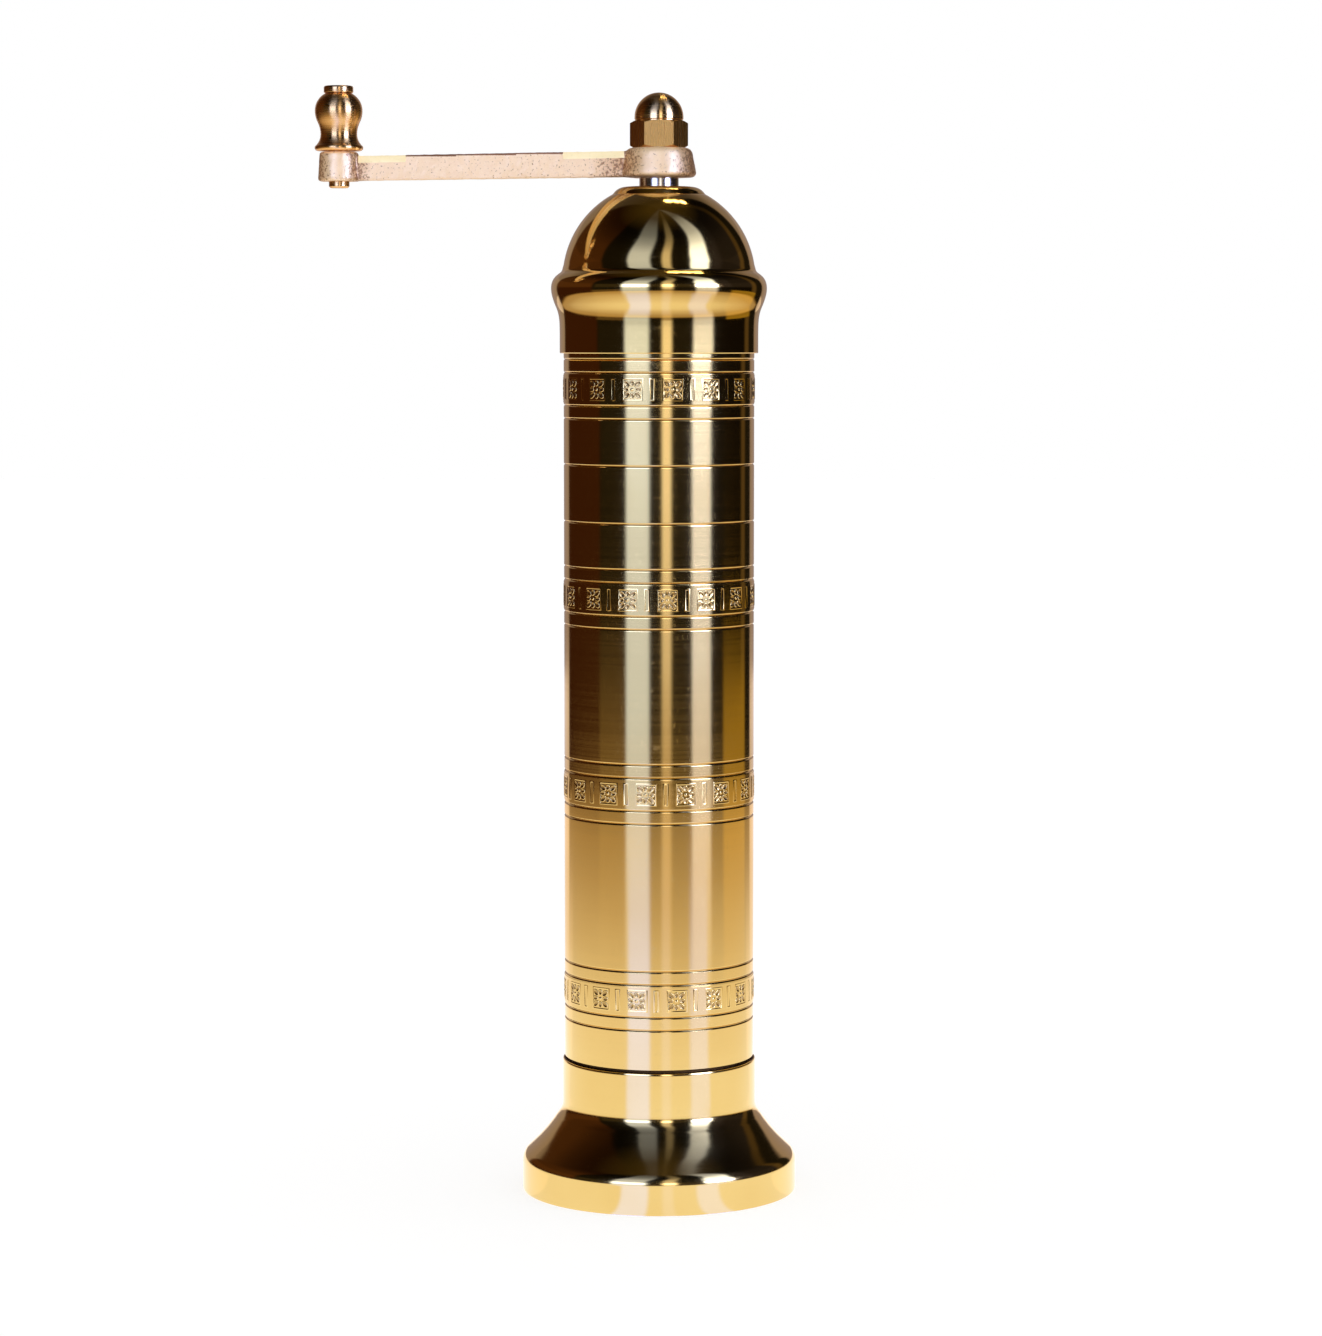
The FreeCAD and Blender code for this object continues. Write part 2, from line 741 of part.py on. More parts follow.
save("base_foot", base_foot())
save("body_tube", body_tube())
save("dome_lid", dome_lid())
save("lid_bush", flanged_bush(lid_bush_radius, lid_top - crown_thickness, lid_top - head_gap))
save("drive_shaft", drive_shaft())
save("shaft_collar", shaft_collar())
save("collar_pin", collar_pin())
washer_bottom = guide_top + running_gap
save("thrust_washer", sleeve(collar_radius, shaft_radius + fit_gap, washer_bottom, collar_bottom))
save("shaft_guide", shaft_guide())
save("guide_bush", sleeve(guide_bush_radius, shaft_hole, guide_bottom, guide_top))
save("burr_spring", burr_spring())
save("spring_washer", sleeve(washer_radius, shaft_hole, cone_top, spring_bottom))
save("inner_burr", inner_burr())
save("outer_burr", outer_burr())
save("burr_plate", burr_plate())
save("burr_screws", burr_screws())
save("adjusting_nut", adjusting_nut())
save("crank_arm", crank_arm())
save("knob_pin", knob_pin())
save("knob", knob())
save("cap_nut", cap_nut())
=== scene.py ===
import math

import bpy
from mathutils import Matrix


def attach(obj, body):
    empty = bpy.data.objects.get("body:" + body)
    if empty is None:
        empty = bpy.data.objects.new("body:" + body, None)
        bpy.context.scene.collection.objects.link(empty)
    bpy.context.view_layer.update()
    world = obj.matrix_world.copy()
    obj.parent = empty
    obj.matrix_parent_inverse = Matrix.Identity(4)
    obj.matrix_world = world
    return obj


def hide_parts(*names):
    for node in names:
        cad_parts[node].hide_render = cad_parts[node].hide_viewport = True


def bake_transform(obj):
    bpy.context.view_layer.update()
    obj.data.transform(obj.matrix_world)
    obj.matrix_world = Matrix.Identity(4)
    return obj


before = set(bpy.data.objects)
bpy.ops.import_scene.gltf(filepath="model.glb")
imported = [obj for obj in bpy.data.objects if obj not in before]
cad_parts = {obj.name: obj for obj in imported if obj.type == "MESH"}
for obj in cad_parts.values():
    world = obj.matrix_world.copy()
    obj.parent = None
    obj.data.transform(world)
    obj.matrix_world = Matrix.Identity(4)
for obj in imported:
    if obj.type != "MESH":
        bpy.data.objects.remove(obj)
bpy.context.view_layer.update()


# Foot: one flared brass casting, turned and polished all over and then lacquered.
# Its collar carries the tube on a narrow ring, and ground grains fall out through its hollow bell.
mm = 0.001
bell_radius, foot_radius, foot_round = 25.2, 27.6, 3.2
collar_radius, collar_top = 19.4, 26.7
joint_radius, joint_from, joint_to = 18.4, 26.7, 27.2
spigot_radius, spigot_top, throat_radius = 17.97, 36.0, 15.37


def bow(middle, radius, start, end, count):
    """Points of a round part of an outline, by angle in degrees from outwards towards up."""
    points = []
    for i in range(count + 1):
        a = math.radians(start + (end - start) * i / count)
        points.append((middle[0] + radius * math.cos(a), middle[1] + radius * math.sin(a)))
    return points


def sweep_through(points, count):
    """A smooth line through given points of an outline, as a bent spline would draw it."""
    ends = [points[0]] + points + [points[-1]]
    line = []
    for p0, p1, p2, p3 in zip(ends, ends[1:], ends[2:], ends[3:]):
        for i in range(count):
            t = i / count
            point = []
            for a, b, c, d in zip(p0, p1, p2, p3):
                straight = 2 * b + (c - a) * t
                bent = (2 * a - 5 * b + 4 * c - d) * t * t + (3 * b - a - 3 * c + d) * t * t * t
                point.append(0.5 * (straight + bent))
            line.append(tuple(point))
    return line + [points[-1]]


def turn_on_lathe(name, outline, steps, place=(0, 0), smooth=25):
    """A point is walked round a closed outline of (r, z) millimetres, which is then spun about its axis."""
    bpy.ops.object.select_all(action="DESELECT")
    bpy.ops.mesh.primitive_circle_add(vertices=3, radius=mm)
    piece = bpy.context.object
    piece.name = name
    piece.data.name = name
    bpy.ops.object.mode_set(mode="EDIT")
    bpy.ops.mesh.select_mode(type="VERT")
    bpy.ops.mesh.select_all(action="SELECT")
    bpy.ops.mesh.merge(type="CENTER")
    r, z = outline[0]
    bpy.ops.transform.translate(value=(r * mm, 0, z * mm))
    for next_r, next_z in outline[1:] + outline[:1]:
        step = ((next_r - r) * mm, 0, (next_z - z) * mm)
        bpy.ops.mesh.extrude_region_move(TRANSFORM_OT_translate={"value": step})
        r, z = next_r, next_z
    bpy.ops.mesh.select_all(action="SELECT")
    bpy.ops.mesh.remove_doubles(threshold=1e-6)
    bpy.ops.mesh.select_all(action="SELECT")
    bpy.ops.mesh.spin(steps=steps, angle=2 * math.pi, axis=(0, 0, 1), center=(0, 0, 0))
    bpy.ops.mesh.select_all(action="SELECT")
    bpy.ops.mesh.remove_doubles(threshold=1e-6)
    bpy.ops.mesh.delete_loose()
    bpy.ops.mesh.select_all(action="SELECT")
    bpy.ops.mesh.normals_make_consistent(inside=False)
    bpy.ops.transform.translate(value=(place[0] * mm, place[1] * mm, 0))
    bpy.ops.object.mode_set(mode="OBJECT")
    bpy.ops.object.shade_smooth_by_angle(angle=math.radians(smooth))
    return piece


def new_finish(name):
    """An empty metal finish: its node tree, its shader, and where on the piece a point lies."""
    finish = bpy.data.materials.new(name)
    finish.use_nodes = True
    tree = finish.node_tree
    shader = tree.nodes["Principled BSDF"]
    shader.inputs["Metallic"].default_value = 1.0
    place = tree.nodes.new("ShaderNodeTexCoord").outputs["Object"]
    return finish, tree, shader, place


def add_node(tree, kind, values=(), **settings):
    """A node whose settings and inputs are given; an input that is a socket is linked."""
    made = tree.nodes.new("ShaderNode" + kind)
    for key, value in settings.items():
        setattr(made, key, value)
    for socket, value in values:
        if isinstance(value, bpy.types.NodeSocket):
            tree.links.new(value, made.inputs[socket])
        else:
            made.inputs[socket].default_value = value
    return made


def mix_colours(tree, share, first, second, way="MIX"):
    """Lays a second colour over a first by a share of 0 to 1; each may be a socket."""
    made = add_node(tree, "Mix", [(0, share), (6, first), (7, second)], data_type="RGBA", blend_type=way)
    return made.outputs[2]


def lathe_lines(tree, place, axis, size):
    """Fine rings left by the tool and the buffing wheel: noise that changes only with r and z."""
    moved = add_node(tree, "Mapping", [("Vector", place), ("Location", (-axis[0] * mm, -axis[1] * mm, 0))])
    parts = add_node(tree, "SeparateXYZ", [(0, moved.outputs[0])])
    flat = add_node(tree, "CombineXYZ", [(0, parts.outputs[0]), (1, parts.outputs[1])])
    radius = add_node(tree, "VectorMath", [(0, flat.outputs[0])], operation="LENGTH")
    ring = add_node(tree, "CombineXYZ", [(0, radius.outputs["Value"]), (1, parts.outputs[2])])
    return add_node(
        tree,
        "TexNoise",
        [("Vector", ring.outputs[0]), ("Scale", 1 / (size * mm)), ("Detail", 3.0), ("Roughness", 0.6)],
        noise_dimensions="2D",
    ).outputs["Fac"]


def in_range(tree, value, low, high, start=0.3, end=0.7):
    """Spreads the middle of a noise between two values."""
    limits = [(0, value), (1, start), (2, end), (3, low), (4, high)]
    return add_node(tree, "MapRange", limits, clamp=True).outputs[0]


def bright_brass(name, colour, shade, gloss, lines, axis=(0, 0), brushed=0.0):
    """Polished and lacquered brass: slow colour drift, ring lines, a few hairlines, brown in the engraving."""
    finish, tree, shader, place = new_finish(name)
    ring_size, hair_turn, hair_scale = 0.35, (0.5, 0.3, 0.9), (300.0, 9000.0, 700.0)
    rings = lathe_lines(tree, place, axis, ring_size)
    drift = add_node(tree, "TexNoise", [("Vector", place), ("Scale", 45.0), ("Detail", 2.0)]).outputs["Fac"]
    hair = add_node(tree, "Mapping", [("Vector", place), ("Rotation", hair_turn), ("Scale", hair_scale)])
    hairs = add_node(tree, "TexNoise", [("Vector", hair.outputs[0]), ("Scale", 1.0), ("Detail", 1.0)]).outputs["Fac"]
    tone = mix_colours(tree, in_range(tree, drift, 0.0, 1.0), (*shade, 1), (*colour, 1))
    # Darker brown is mixed in where the surface is hollow, by pointiness.
    hollow = add_node(tree, "NewGeometry").outputs["Pointiness"]
    brown = (0.20, 0.11, 0.035, 1)
    darker_in_hollows = mix_colours(tree, in_range(tree, hollow, 0.25, 0.0, 0.40, 0.49), tone, brown)
    tree.links.new(darker_in_hollows, shader.inputs["Base Color"])
    blur = add_node(
        tree,
        "Math",
        [(0, in_range(tree, rings, gloss * 0.85, gloss * 1.2)), (1, in_range(tree, hairs, 0.0, 0.05, 0.64, 0.72))],
        operation="ADD",
    )
    tree.links.new(blur.outputs[0], shader.inputs["Roughness"])
    bump = add_node(tree, "Bump", [("Strength", lines), ("Distance", 0.002 * mm), ("Height", rings)])
    tree.links.new(bump.outputs[0], shader.inputs["Normal"])
    shader.inputs["Anisotropic"].default_value = brushed
    shader.inputs["Anisotropic Rotation"].default_value = 0.25
    return finish


flare = [
    (26.54, 8.18),
    (25.68, 9.0),
    (24.66, 10.0),
    (23.72, 11.0),
    (22.53, 12.4),
    (21.32, 14.0),
    (20.68, 14.9),
    (20.28, 15.45),
    (19.82, 16.2),
    (19.55, 16.9),
    (19.43, 17.5),
    (19.40, 18.1),
]
foot = turn_on_lathe(
    "foot",
    [(bell_radius, 0.0), (27.2, 0.0), (27.5, 0.12), (foot_radius, 0.4), (foot_radius, 0.6), (foot_radius, 5.6)]
    + bow((foot_radius - foot_round, 5.8), foot_round, 0, 46, 14)
    + sweep_through(flare, 3)
    + [(collar_radius, 18.5), (collar_radius, 26.15), (collar_radius, 26.4), (19.33, 26.62), (19.15, collar_top)]
    + [(joint_radius, joint_from), (joint_radius, joint_to), (spigot_radius, joint_to)]
    + [(spigot_radius, spigot_top), (throat_radius, spigot_top), (throat_radius, 18.5), (bell_radius, 4.8)],
    192,
)
foot.data.materials.append(
    bright_brass("polished_brass_foot", (0.87, 0.62, 0.235), (0.82, 0.56, 0.19), 0.11, 0.1, brushed=0.4)
)
# Painted shade: the recessed ring in the gap between foot and tube gets a near-black brown finish.
foot.data.materials.append(bright_brass("painted_shade_in_the_joint", (0.12, 0.06, 0.02), (0.07, 0.035, 0.012), 0.5, 0.3))
for face in foot.data.polygons:
    x, y, z = face.center / mm
    if math.hypot(x, y) < joint_radius + 0.7 and joint_from - 0.04 < z < joint_to + 0.1:
        face.material_index = 1
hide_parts("base_foot")
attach(foot, "mill_body")


# Burr plate, its toothed ring and three screws: the plate is a brass casting clamped between tube and foot.
# The ring is hardened steel with ground teeth, and the screws hold it up against the plate.
def plain_metal(name, colour, shade, gloss, lines, axis=(0, 0), size=0.12, drawn=False, brushed=0.0):
    """Bare turned metal: ring lines from the tool, or upright lines of drawn bar, and slow stains."""
    finish, tree, shader, place = new_finish(name)
    if drawn:
        fine = 1 / (size * mm)
        long = add_node(tree, "Mapping", [("Vector", place), ("Scale", (fine, fine, 60.0))])
        upright = add_node(tree, "TexNoise", [("Vector", long.outputs[0]), ("Scale", 1.0), ("Detail", 3.0)])
        rings = upright.outputs["Fac"]
    else:
        rings = lathe_lines(tree, place, axis, size)
    stain_and_side_shade = add_node(tree, "TexNoise", [("Vector", place), ("Scale", 160.0), ("Detail", 4.0)]).outputs["Fac"]
    both = add_node(tree, "Math", [(0, in_range(tree, rings, 0.0, 0.6)), (1, in_range(tree, stain_and_side_shade, 0.0, 0.4))])
    tone = mix_colours(tree, both.outputs[0], (*shade, 1), (*colour, 1))
    tree.links.new(tone, shader.inputs["Base Color"])
    tree.links.new(in_range(tree, rings, gloss * 1.25, gloss * 0.8), shader.inputs["Roughness"])
    bump = add_node(tree, "Bump", [("Strength", lines), ("Distance", 0.01 * mm), ("Height", rings)])
    tree.links.new(bump.outputs[0], shader.inputs["Normal"])
    shader.inputs["Anisotropic"].default_value = brushed
    shader.inputs["Anisotropic Rotation"].default_value = 0.25
    return finish


def cast_metal(name, colour, shade, gloss, metal=0.8, pitted=0.6, shaded_sides=()):
    """Metal as it leaves the sand: fine grain, dark pits, dirt in hollows, and painted shade round middles given as x
    and three reaches, with more pits there.
    """
    finish, tree, shader, place = new_finish(name)
    grain = add_node(
        tree, "TexNoise", [("Vector", place), ("Scale", 3600.0), ("Detail", 3.0), ("Roughness", 0.65)]
    ).outputs["Fac"]
    blotch = add_node(tree, "TexNoise", [("Vector", place), ("Scale", 420.0), ("Detail", 3.0)]).outputs["Fac"]
    mixed = add_node(tree, "Math", [(0, in_range(tree, grain, 0.0, 0.5)), (1, in_range(tree, blotch, 0.0, 0.5))])
    tone = mix_colours(tree, mixed.outputs[0], (*shade, 1), (*colour, 1))
    along = add_node(tree, "SeparateXYZ", [(0, place)]).outputs[0]
    stain_and_side_shade = 0.0
    for x, clear, full, end in shaded_sides:
        off = add_node(tree, "Math", [(0, along), (1, x * mm)], operation="SUBTRACT")
        off = add_node(tree, "Math", [(0, off.outputs[0])], operation="ABSOLUTE").outputs[0]
        grows = in_range(tree, off, 0.0, 1.0, clear * mm, full * mm)
        ebbs = in_range(tree, off, 1.0, 0.0, full * mm, end * mm)
        patch = add_node(tree, "Math", [(0, grows), (1, ebbs)], operation="MULTIPLY")
        stain_and_side_shade = add_node(tree, "Math", [(0, stain_and_side_shade), (1, patch.outputs[0])], operation="MAXIMUM").outputs[0]
    # Painted shade: brown is laid round each given middle, starting a little off it and spreading outwards, so that
    # round sides read darker.
    painted_side_shade = add_node(tree, "Math", [(0, stain_and_side_shade), (1, in_range(tree, blotch, 0.95, 0.4))], operation="MULTIPLY")
    tone = mix_colours(tree, painted_side_shade.outputs[0], tone, (0.50, 0.24, 0.09, 1))
    pits = add_node(tree, "TexNoise", [("Vector", place), ("Scale", 2300.0), ("Detail", 2.0)]).outputs["Fac"]
    deeper = add_node(tree, "Math", [(0, stain_and_side_shade), (1, -0.22), (2, pits)], operation="MULTIPLY_ADD")
    specks = in_range(tree, deeper.outputs[0], pitted, 0.0, 0.28, 0.38)
    hollow = add_node(tree, "NewGeometry").outputs["Pointiness"]
    hollows = in_range(tree, hollow, pitted, 0.0, 0.40, 0.48)
    dirt = add_node(tree, "Math", [(0, specks), (1, hollows)], operation="MAXIMUM")
    dirty = mix_colours(tree, dirt.outputs[0], tone, (0.24, 0.10, 0.045, 1))
    tree.links.new(dirty, shader.inputs["Base Color"])
    tree.links.new(in_range(tree, grain, gloss * 1.2, gloss * 0.85), shader.inputs["Roughness"])
    shader.inputs["Metallic"].default_value = metal
    height = add_node(tree, "Math", [(0, grain), (1, blotch)], operation="ADD")
    bump = add_node(tree, "Bump", [("Strength", 0.5), ("Distance", 0.05 * mm), ("Height", height.outputs[0])])
    tree.links.new(bump.outputs[0], shader.inputs["Normal"])
    return finish


def dress(node, finish):
    """Gives a piece that stays as the CAD made it its real finish."""
    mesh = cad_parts[node].data
    mesh.materials.clear()
    mesh.materials.append(finish)


steel = plain_metal("turned_steel", (0.64, 0.61, 0.57), (0.46, 0.44, 0.41), 0.24, 0.5)
hard_steel = plain_metal("hardened_steel", (0.36, 0.355, 0.36), (0.19, 0.19, 0.20), 0.36, 0.7, size=0.2)
bare_casting = cast_metal("cast_brass_plate", (0.72, 0.50, 0.27), (0.55, 0.36, 0.17), 0.45)
dress("burr_plate", bare_casting)
dress("outer_burr", hard_steel)
dress("burr_screws", steel)


# Tube: drawn brass, bored wider below for the foot's spigot and the burr plate.
# Rings are cut into it on the lathe and four belts of rosettes are rolled into it; then it is brushed and lacquered.
tube_radius, tube_bore, tube_low_bore = 19.0, 17.5, 18.0
tube_from, tube_ledge, tube_to = 27.2, 39.0, 176.0
band_middles = (161.5, 120.4, 82.1, 41.1)
band_turns = (8.0, 4.9, -8.0, 10.5)
lone_rings = (146.5, 135.2)
band_rings = (-5.85, -3.25, 3.25, 5.85)
ring_depth = 0.19
belt_half = 2.75
belt_radius = 19.08
belt_bed = 0.3
rosettes = 15


def ring_cut(z):
    """Outline of one engraved ring with slightly eased lips, from below to above."""
    return [
        (tube_radius, z - 0.38),
        (tube_radius, z - 0.33),
        (tube_radius - 0.012, z - 0.25),
        (tube_radius - ring_depth, z - 0.03),
        (tube_radius - ring_depth, z + 0.03),
        (tube_radius - 0.012, z + 0.25),
        (tube_radius, z + 0.33),
        (tube_radius, z + 0.38),
    ]


def belt_seat(z):
    """Outline of the bed under a rolled belt, from below to above."""
    return [
        (tube_radius, z - belt_half - 0.05),
        (tube_radius, z - belt_half),
        (tube_radius - belt_bed, z - belt_half),
        (tube_radius - belt_bed, z + belt_half),
        (tube_radius, z + belt_half),
        (tube_radius, z + belt_half + 0.05),
    ]


cuts = [(z, ring_cut) for z in lone_rings]
for z in band_middles:
    cuts += [(z, belt_seat)] + [(z + offset, ring_cut) for offset in band_rings]
outside = [(tube_low_bore, tube_from), (18.85, tube_from), (tube_radius, 27.35), (tube_radius, 27.45)]
for z, shape in sorted(cuts, key=lambda cut: cut[0]):
    outside += shape(z)
tube = turn_on_lathe(
    "tube",
    outside
    + [(tube_radius, 175.5), (tube_radius, 175.7), (18.9, tube_to), (17.6, tube_to), (tube_bore, 175.9)]
    + [(tube_bore, tube_ledge), (tube_low_bore, tube_ledge)],
    176,
)

# One tile of the belt is shaped flat: a square with its rosette, and a bar.
tile_width = 2 * math.pi * tube_radius / rosettes
square = 2.25
bar_middle = tile_width / 2
bar_half = 0.6


def start_flat(name):
    """A flat plate that faces the viewer, ready to be shaped in edit mode."""
    bpy.ops.object.select_all(action="DESELECT")
    bpy.ops.mesh.primitive_plane_add(size=1, rotation=(math.pi / 2, 0, 0))
    bpy.ops.object.transform_apply(location=True, rotation=True, scale=True)
    bpy.context.object.name = name
    return bpy.context.object


def pick_faces(piece, wanted):
    """Selects the faces that lie where they are wanted, and stays in edit mode."""
    bpy.ops.object.mode_set(mode="EDIT")
    bpy.ops.mesh.select_mode(type="FACE")
    bpy.ops.mesh.select_all(action="DESELECT")
    bpy.ops.object.mode_set(mode="OBJECT")
    for face in piece.data.polygons:
        face.select = wanted(face.center / mm)
    bpy.ops.object.mode_set(mode="EDIT")


tile = start_flat("belt")
bpy.ops.object.mode_set(mode="EDIT")
bpy.ops.transform.resize(value=(tile_width * mm, 1, 2 * belt_half * mm), center_override=(0, 0, 0))
bpy.ops.transform.translate(value=(tile_width / 4 * mm, 0, 0))
upright_cuts = [square * (i / 4 - 1) for i in range(9)]
upright_cuts += [bar_middle - bar_half, bar_middle, bar_middle + bar_half]
for u in upright_cuts:
    bpy.ops.mesh.select_all(action="SELECT")
    bpy.ops.mesh.bisect(plane_co=(u * mm, 0, 0), plane_no=(1, 0, 0))
for v in (-square, square):
    bpy.ops.mesh.select_all(action="SELECT")
    bpy.ops.mesh.bisect(plane_co=(0, 0, v * mm), plane_no=(0, 0, 1))


def raised_outline(piece, middle, half, bold):
    """A soft line raised round a field, and the field itself a little sunk."""
    pick_faces(piece, lambda c: abs(c.x - middle) < half and abs(c.z) < square)
    for inwards, upwards in ((0.03, 0.0), (0.16, 0.07), (0.14, -0.085), (0.03, 0.0)):
        bpy.ops.mesh.inset(thickness=inwards * bold * mm, depth=upwards * bold * mm)


raised_outline(tile, 0, square, bold=1.0)
raised_outline(tile, bar_middle, bar_half, bold=0.95)
bpy.ops.object.mode_set(mode="OBJECT")


petal_bed, petal_rise = 0.08, 0.065


def petal(name, inner, outer, width, sides, steps):
    """A small raised leaf, narrow towards the middle of the flower; its rim and dish are given as insets."""
    bpy.ops.object.select_all(action="DESELECT")
    bpy.ops.mesh.primitive_circle_add(
        vertices=sides, radius=mm, fill_type="NGON", rotation=(math.pi / 2, 0, 0)
    )
    leaf = bpy.context.object
    leaf.name = name
    half = (outer - inner) / 2
    bpy.ops.object.transform_apply(location=True, rotation=True, scale=True)
    bpy.ops.object.mode_set(mode="EDIT")
    bpy.ops.transform.resize(value=(width / 2, 1, half), center_override=(0, 0, 0))
    bpy.ops.mesh.select_mode(type="VERT")
    rows = sorted({round(v.co.z / mm, 4) for v in leaf.data.vertices})
    for row in rows if inner > 0 else ():
        bpy.ops.mesh.select_all(action="DESELECT")
        bpy.ops.object.mode_set(mode="OBJECT")
        for v in leaf.data.vertices:
            v.select = abs(v.co.z / mm - row) < 0.001
        bpy.ops.object.mode_set(mode="EDIT")
        narrow = 0.40 + 0.60 * min(1.0, (row / half + 1) / 1.3)
        bpy.ops.transform.resize(value=(narrow, 1, 1), center_override=(0, 0, row * mm))
    bpy.ops.mesh.select_mode(type="FACE")
    bpy.ops.mesh.select_all(action="SELECT")
    bpy.ops.transform.translate(value=(0, petal_bed * mm, (inner + half) * mm if inner > 0 else 0))
    bpy.ops.mesh.extrude_region_move(TRANSFORM_OT_translate={"value": (0, -petal_rise * mm, 0)})
    for inwards, upwards in steps:
        bpy.ops.mesh.inset(thickness=inwards * mm, depth=upwards * mm)
    bpy.ops.mesh.select_all(action="SELECT")
    bpy.ops.mesh.fill_holes(sides=0)
    bpy.ops.mesh.select_all(action="SELECT")
    bpy.ops.mesh.normals_make_consistent(inside=False)
    bpy.ops.object.mode_set(mode="OBJECT")
    return leaf


def join_to(piece, others):
    """Makes other pieces part of the first, each where it stands."""
    bpy.ops.object.select_all(action="DESELECT")
    for each in others + [piece]:
        each.select_set(True)
    bpy.context.view_layer.objects.active = piece
    bpy.ops.object.transform_apply(location=True, rotation=True, scale=True)
    bpy.ops.object.join()


petal_sides = 14
rosette = [petal("heart", -0.36, 0.36, 0.72, 12, [(0.10, 0.07), (0.12, 0.03)])]
dished = [(0.09, 0.07), (0.10, -0.05)]
for turn in range(8):
    inner, outer, width = (0.72, 2.40, 1.14) if turn % 2 else (0.58, 1.88, 1.04)
    leaf = petal("petal", inner, outer, width, petal_sides, dished)
    leaf.rotation_euler = (0, math.radians(45 * turn), 0)
    rosette.append(leaf)
join_to(tile, rosette)

# The long edges of the tile turn down into the bed, then a row of tiles makes a strip that is bent round.
bpy.ops.object.mode_set(mode="EDIT")
bpy.ops.mesh.select_mode(type="EDGE")
bpy.ops.mesh.select_all(action="DESELECT")
bpy.ops.object.mode_set(mode="OBJECT")
for edge in tile.data.edges:
    ends = [tile.data.vertices[i].co.z / mm for i in edge.vertices]
    edge.select = all(abs(abs(v) - belt_half) < 0.001 for v in ends) and ends[0] * ends[1] > 0
bpy.ops.object.mode_set(mode="EDIT")
bpy.ops.mesh.extrude_region_move(TRANSFORM_OT_translate={"value": (0, (belt_bed + 0.03) * mm, 0)})
bpy.ops.mesh.select_all(action="SELECT")
bpy.ops.transform.translate(value=(-(rosettes // 2) * tile_width * mm, (tube_radius - belt_radius) * mm, 0))
bpy.ops.object.mode_set(mode="OBJECT")
row = tile.modifiers.new("row", "ARRAY")
row.count = rosettes
row.use_relative_offset = False
row.use_constant_offset = True
row.constant_offset_displace = (tile_width * mm, 0, 0)
row.use_merge_vertices = True
row.merge_threshold = 1e-6
bpy.ops.object.modifier_apply(modifier="row")
rolled = tile.modifiers.new("rolled", "SIMPLE_DEFORM")
rolled.deform_method = "BEND"
rolled.deform_axis = "Z"
rolled.angle = 2 * math.pi
bpy.ops.object.modifier_apply(modifier="rolled")
bpy.ops.object.mode_set(mode="EDIT")
bpy.ops.mesh.select_all(action="SELECT")
bpy.ops.transform.translate(value=(0, -tube_radius * mm, 0))
bpy.ops.mesh.remove_doubles(threshold=2e-6)
bpy.ops.mesh.select_mode(type="EDGE")
bpy.ops.mesh.select_all(action="DESELECT")
bpy.ops.mesh.select_non_manifold(
    extend=False, use_wire=False, use_multi_face=False, use_non_contiguous=False, use_verts=False
)
bpy.ops.mesh.bridge_edge_loops()
bpy.ops.object.mode_set(mode="OBJECT")
bpy.ops.object.shade_smooth_by_angle(angle=math.radians(70))
belts = [tile]
while len(belts) < len(band_middles):
    bpy.ops.object.select_all(action="DESELECT")
    tile.select_set(True)
    bpy.context.view_layer.objects.active = tile
    bpy.ops.object.duplicate()
    belts.append(bpy.context.object)
for belt, height, turn in zip(belts, band_middles, band_turns):
    belt.location.z = height * mm
    belt.rotation_euler.z = math.radians(turn)
join_to(tube, belts)
tube.data.materials.clear()
tube.data.materials.append(
    bright_brass("brushed_brass_tube", (0.87, 0.62, 0.235), (0.83, 0.57, 0.20), 0.115, 0.12, brushed=0.35)
)
tube.data.materials.append(bright_brass("painted_shade_in_the_petals", (0.54, 0.35, 0.12), (0.44, 0.275, 0.09), 0.24, 0.12))
# Painted shade: the faces with petal_sides corners, which are the petals' dish floors, get the darker brown finish.
for face in tube.data.polygons:
    face.material_index = int(len(face.vertices) == petal_sides)
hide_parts("body_tube")
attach(tube, "mill_body")


# Shaft guide: a three-spoked steel ring pressed into the tube, with a bronze bush in its hub.
# It carries the shaft's weight and lets the grains fall past.
bronze = plain_metal("bearing_bronze", (0.66, 0.44, 0.22), (0.48, 0.30, 0.14), 0.3, 0.5)
dress("shaft_guide", steel)
dress("guide_bush", bronze)


# Shaft: one bright steel bar with a square near each end for the crank and the cone.
# Beyond the squares it is threaded for the cap nut above and the thumb nut below.
shaft_radius = 3.9
square_half = 3.1
squares_from, squares_to = 30.2, 208.9
bar_from, bar_to = 43.1, 203.3
thread_from, thread_to = 22.1, 217.5
thread_root, thread_crest, thread_pitch = 2.4, 2.95, 1.0


def fuse(piece, others):
    """Welds other closed pieces into the first."""
    for other in others:
        bpy.ops.object.select_all(action="DESELECT")
        piece.select_set(True)
        bpy.context.view_layer.objects.active = piece
        weld = piece.modifiers.new("weld", "BOOLEAN")
        weld.operation = "UNION"
        weld.solver = "EXACT"
        weld.object = other
        bpy.ops.object.modifier_apply(modifier="weld")
        bpy.data.objects.remove(other)
    return piece


def flatten_sides(piece, half, count, start=0.0):
    """Files flats round an upright piece, each as far from the axis as half its width."""
    bpy.context.view_layer.objects.active = piece
    bpy.ops.object.mode_set(mode="EDIT")
    for i in range(count):
        a = start + 2 * math.pi * i / count
        side = (math.cos(a), math.sin(a), 0)
        bpy.ops.mesh.select_all(action="SELECT")
        bpy.ops.mesh.bisect(
            plane_co=(side[0] * half * mm, side[1] * half * mm, 0),
            plane_no=side,
            use_fill=True,
            clear_outer=True,
        )
    bpy.ops.mesh.select_all(action="SELECT")
    bpy.ops.mesh.normals_make_consistent(inside=False)
    bpy.ops.object.mode_set(mode="OBJECT")
    bpy.ops.object.shade_smooth_by_angle(angle=math.radians(25))
    return piece


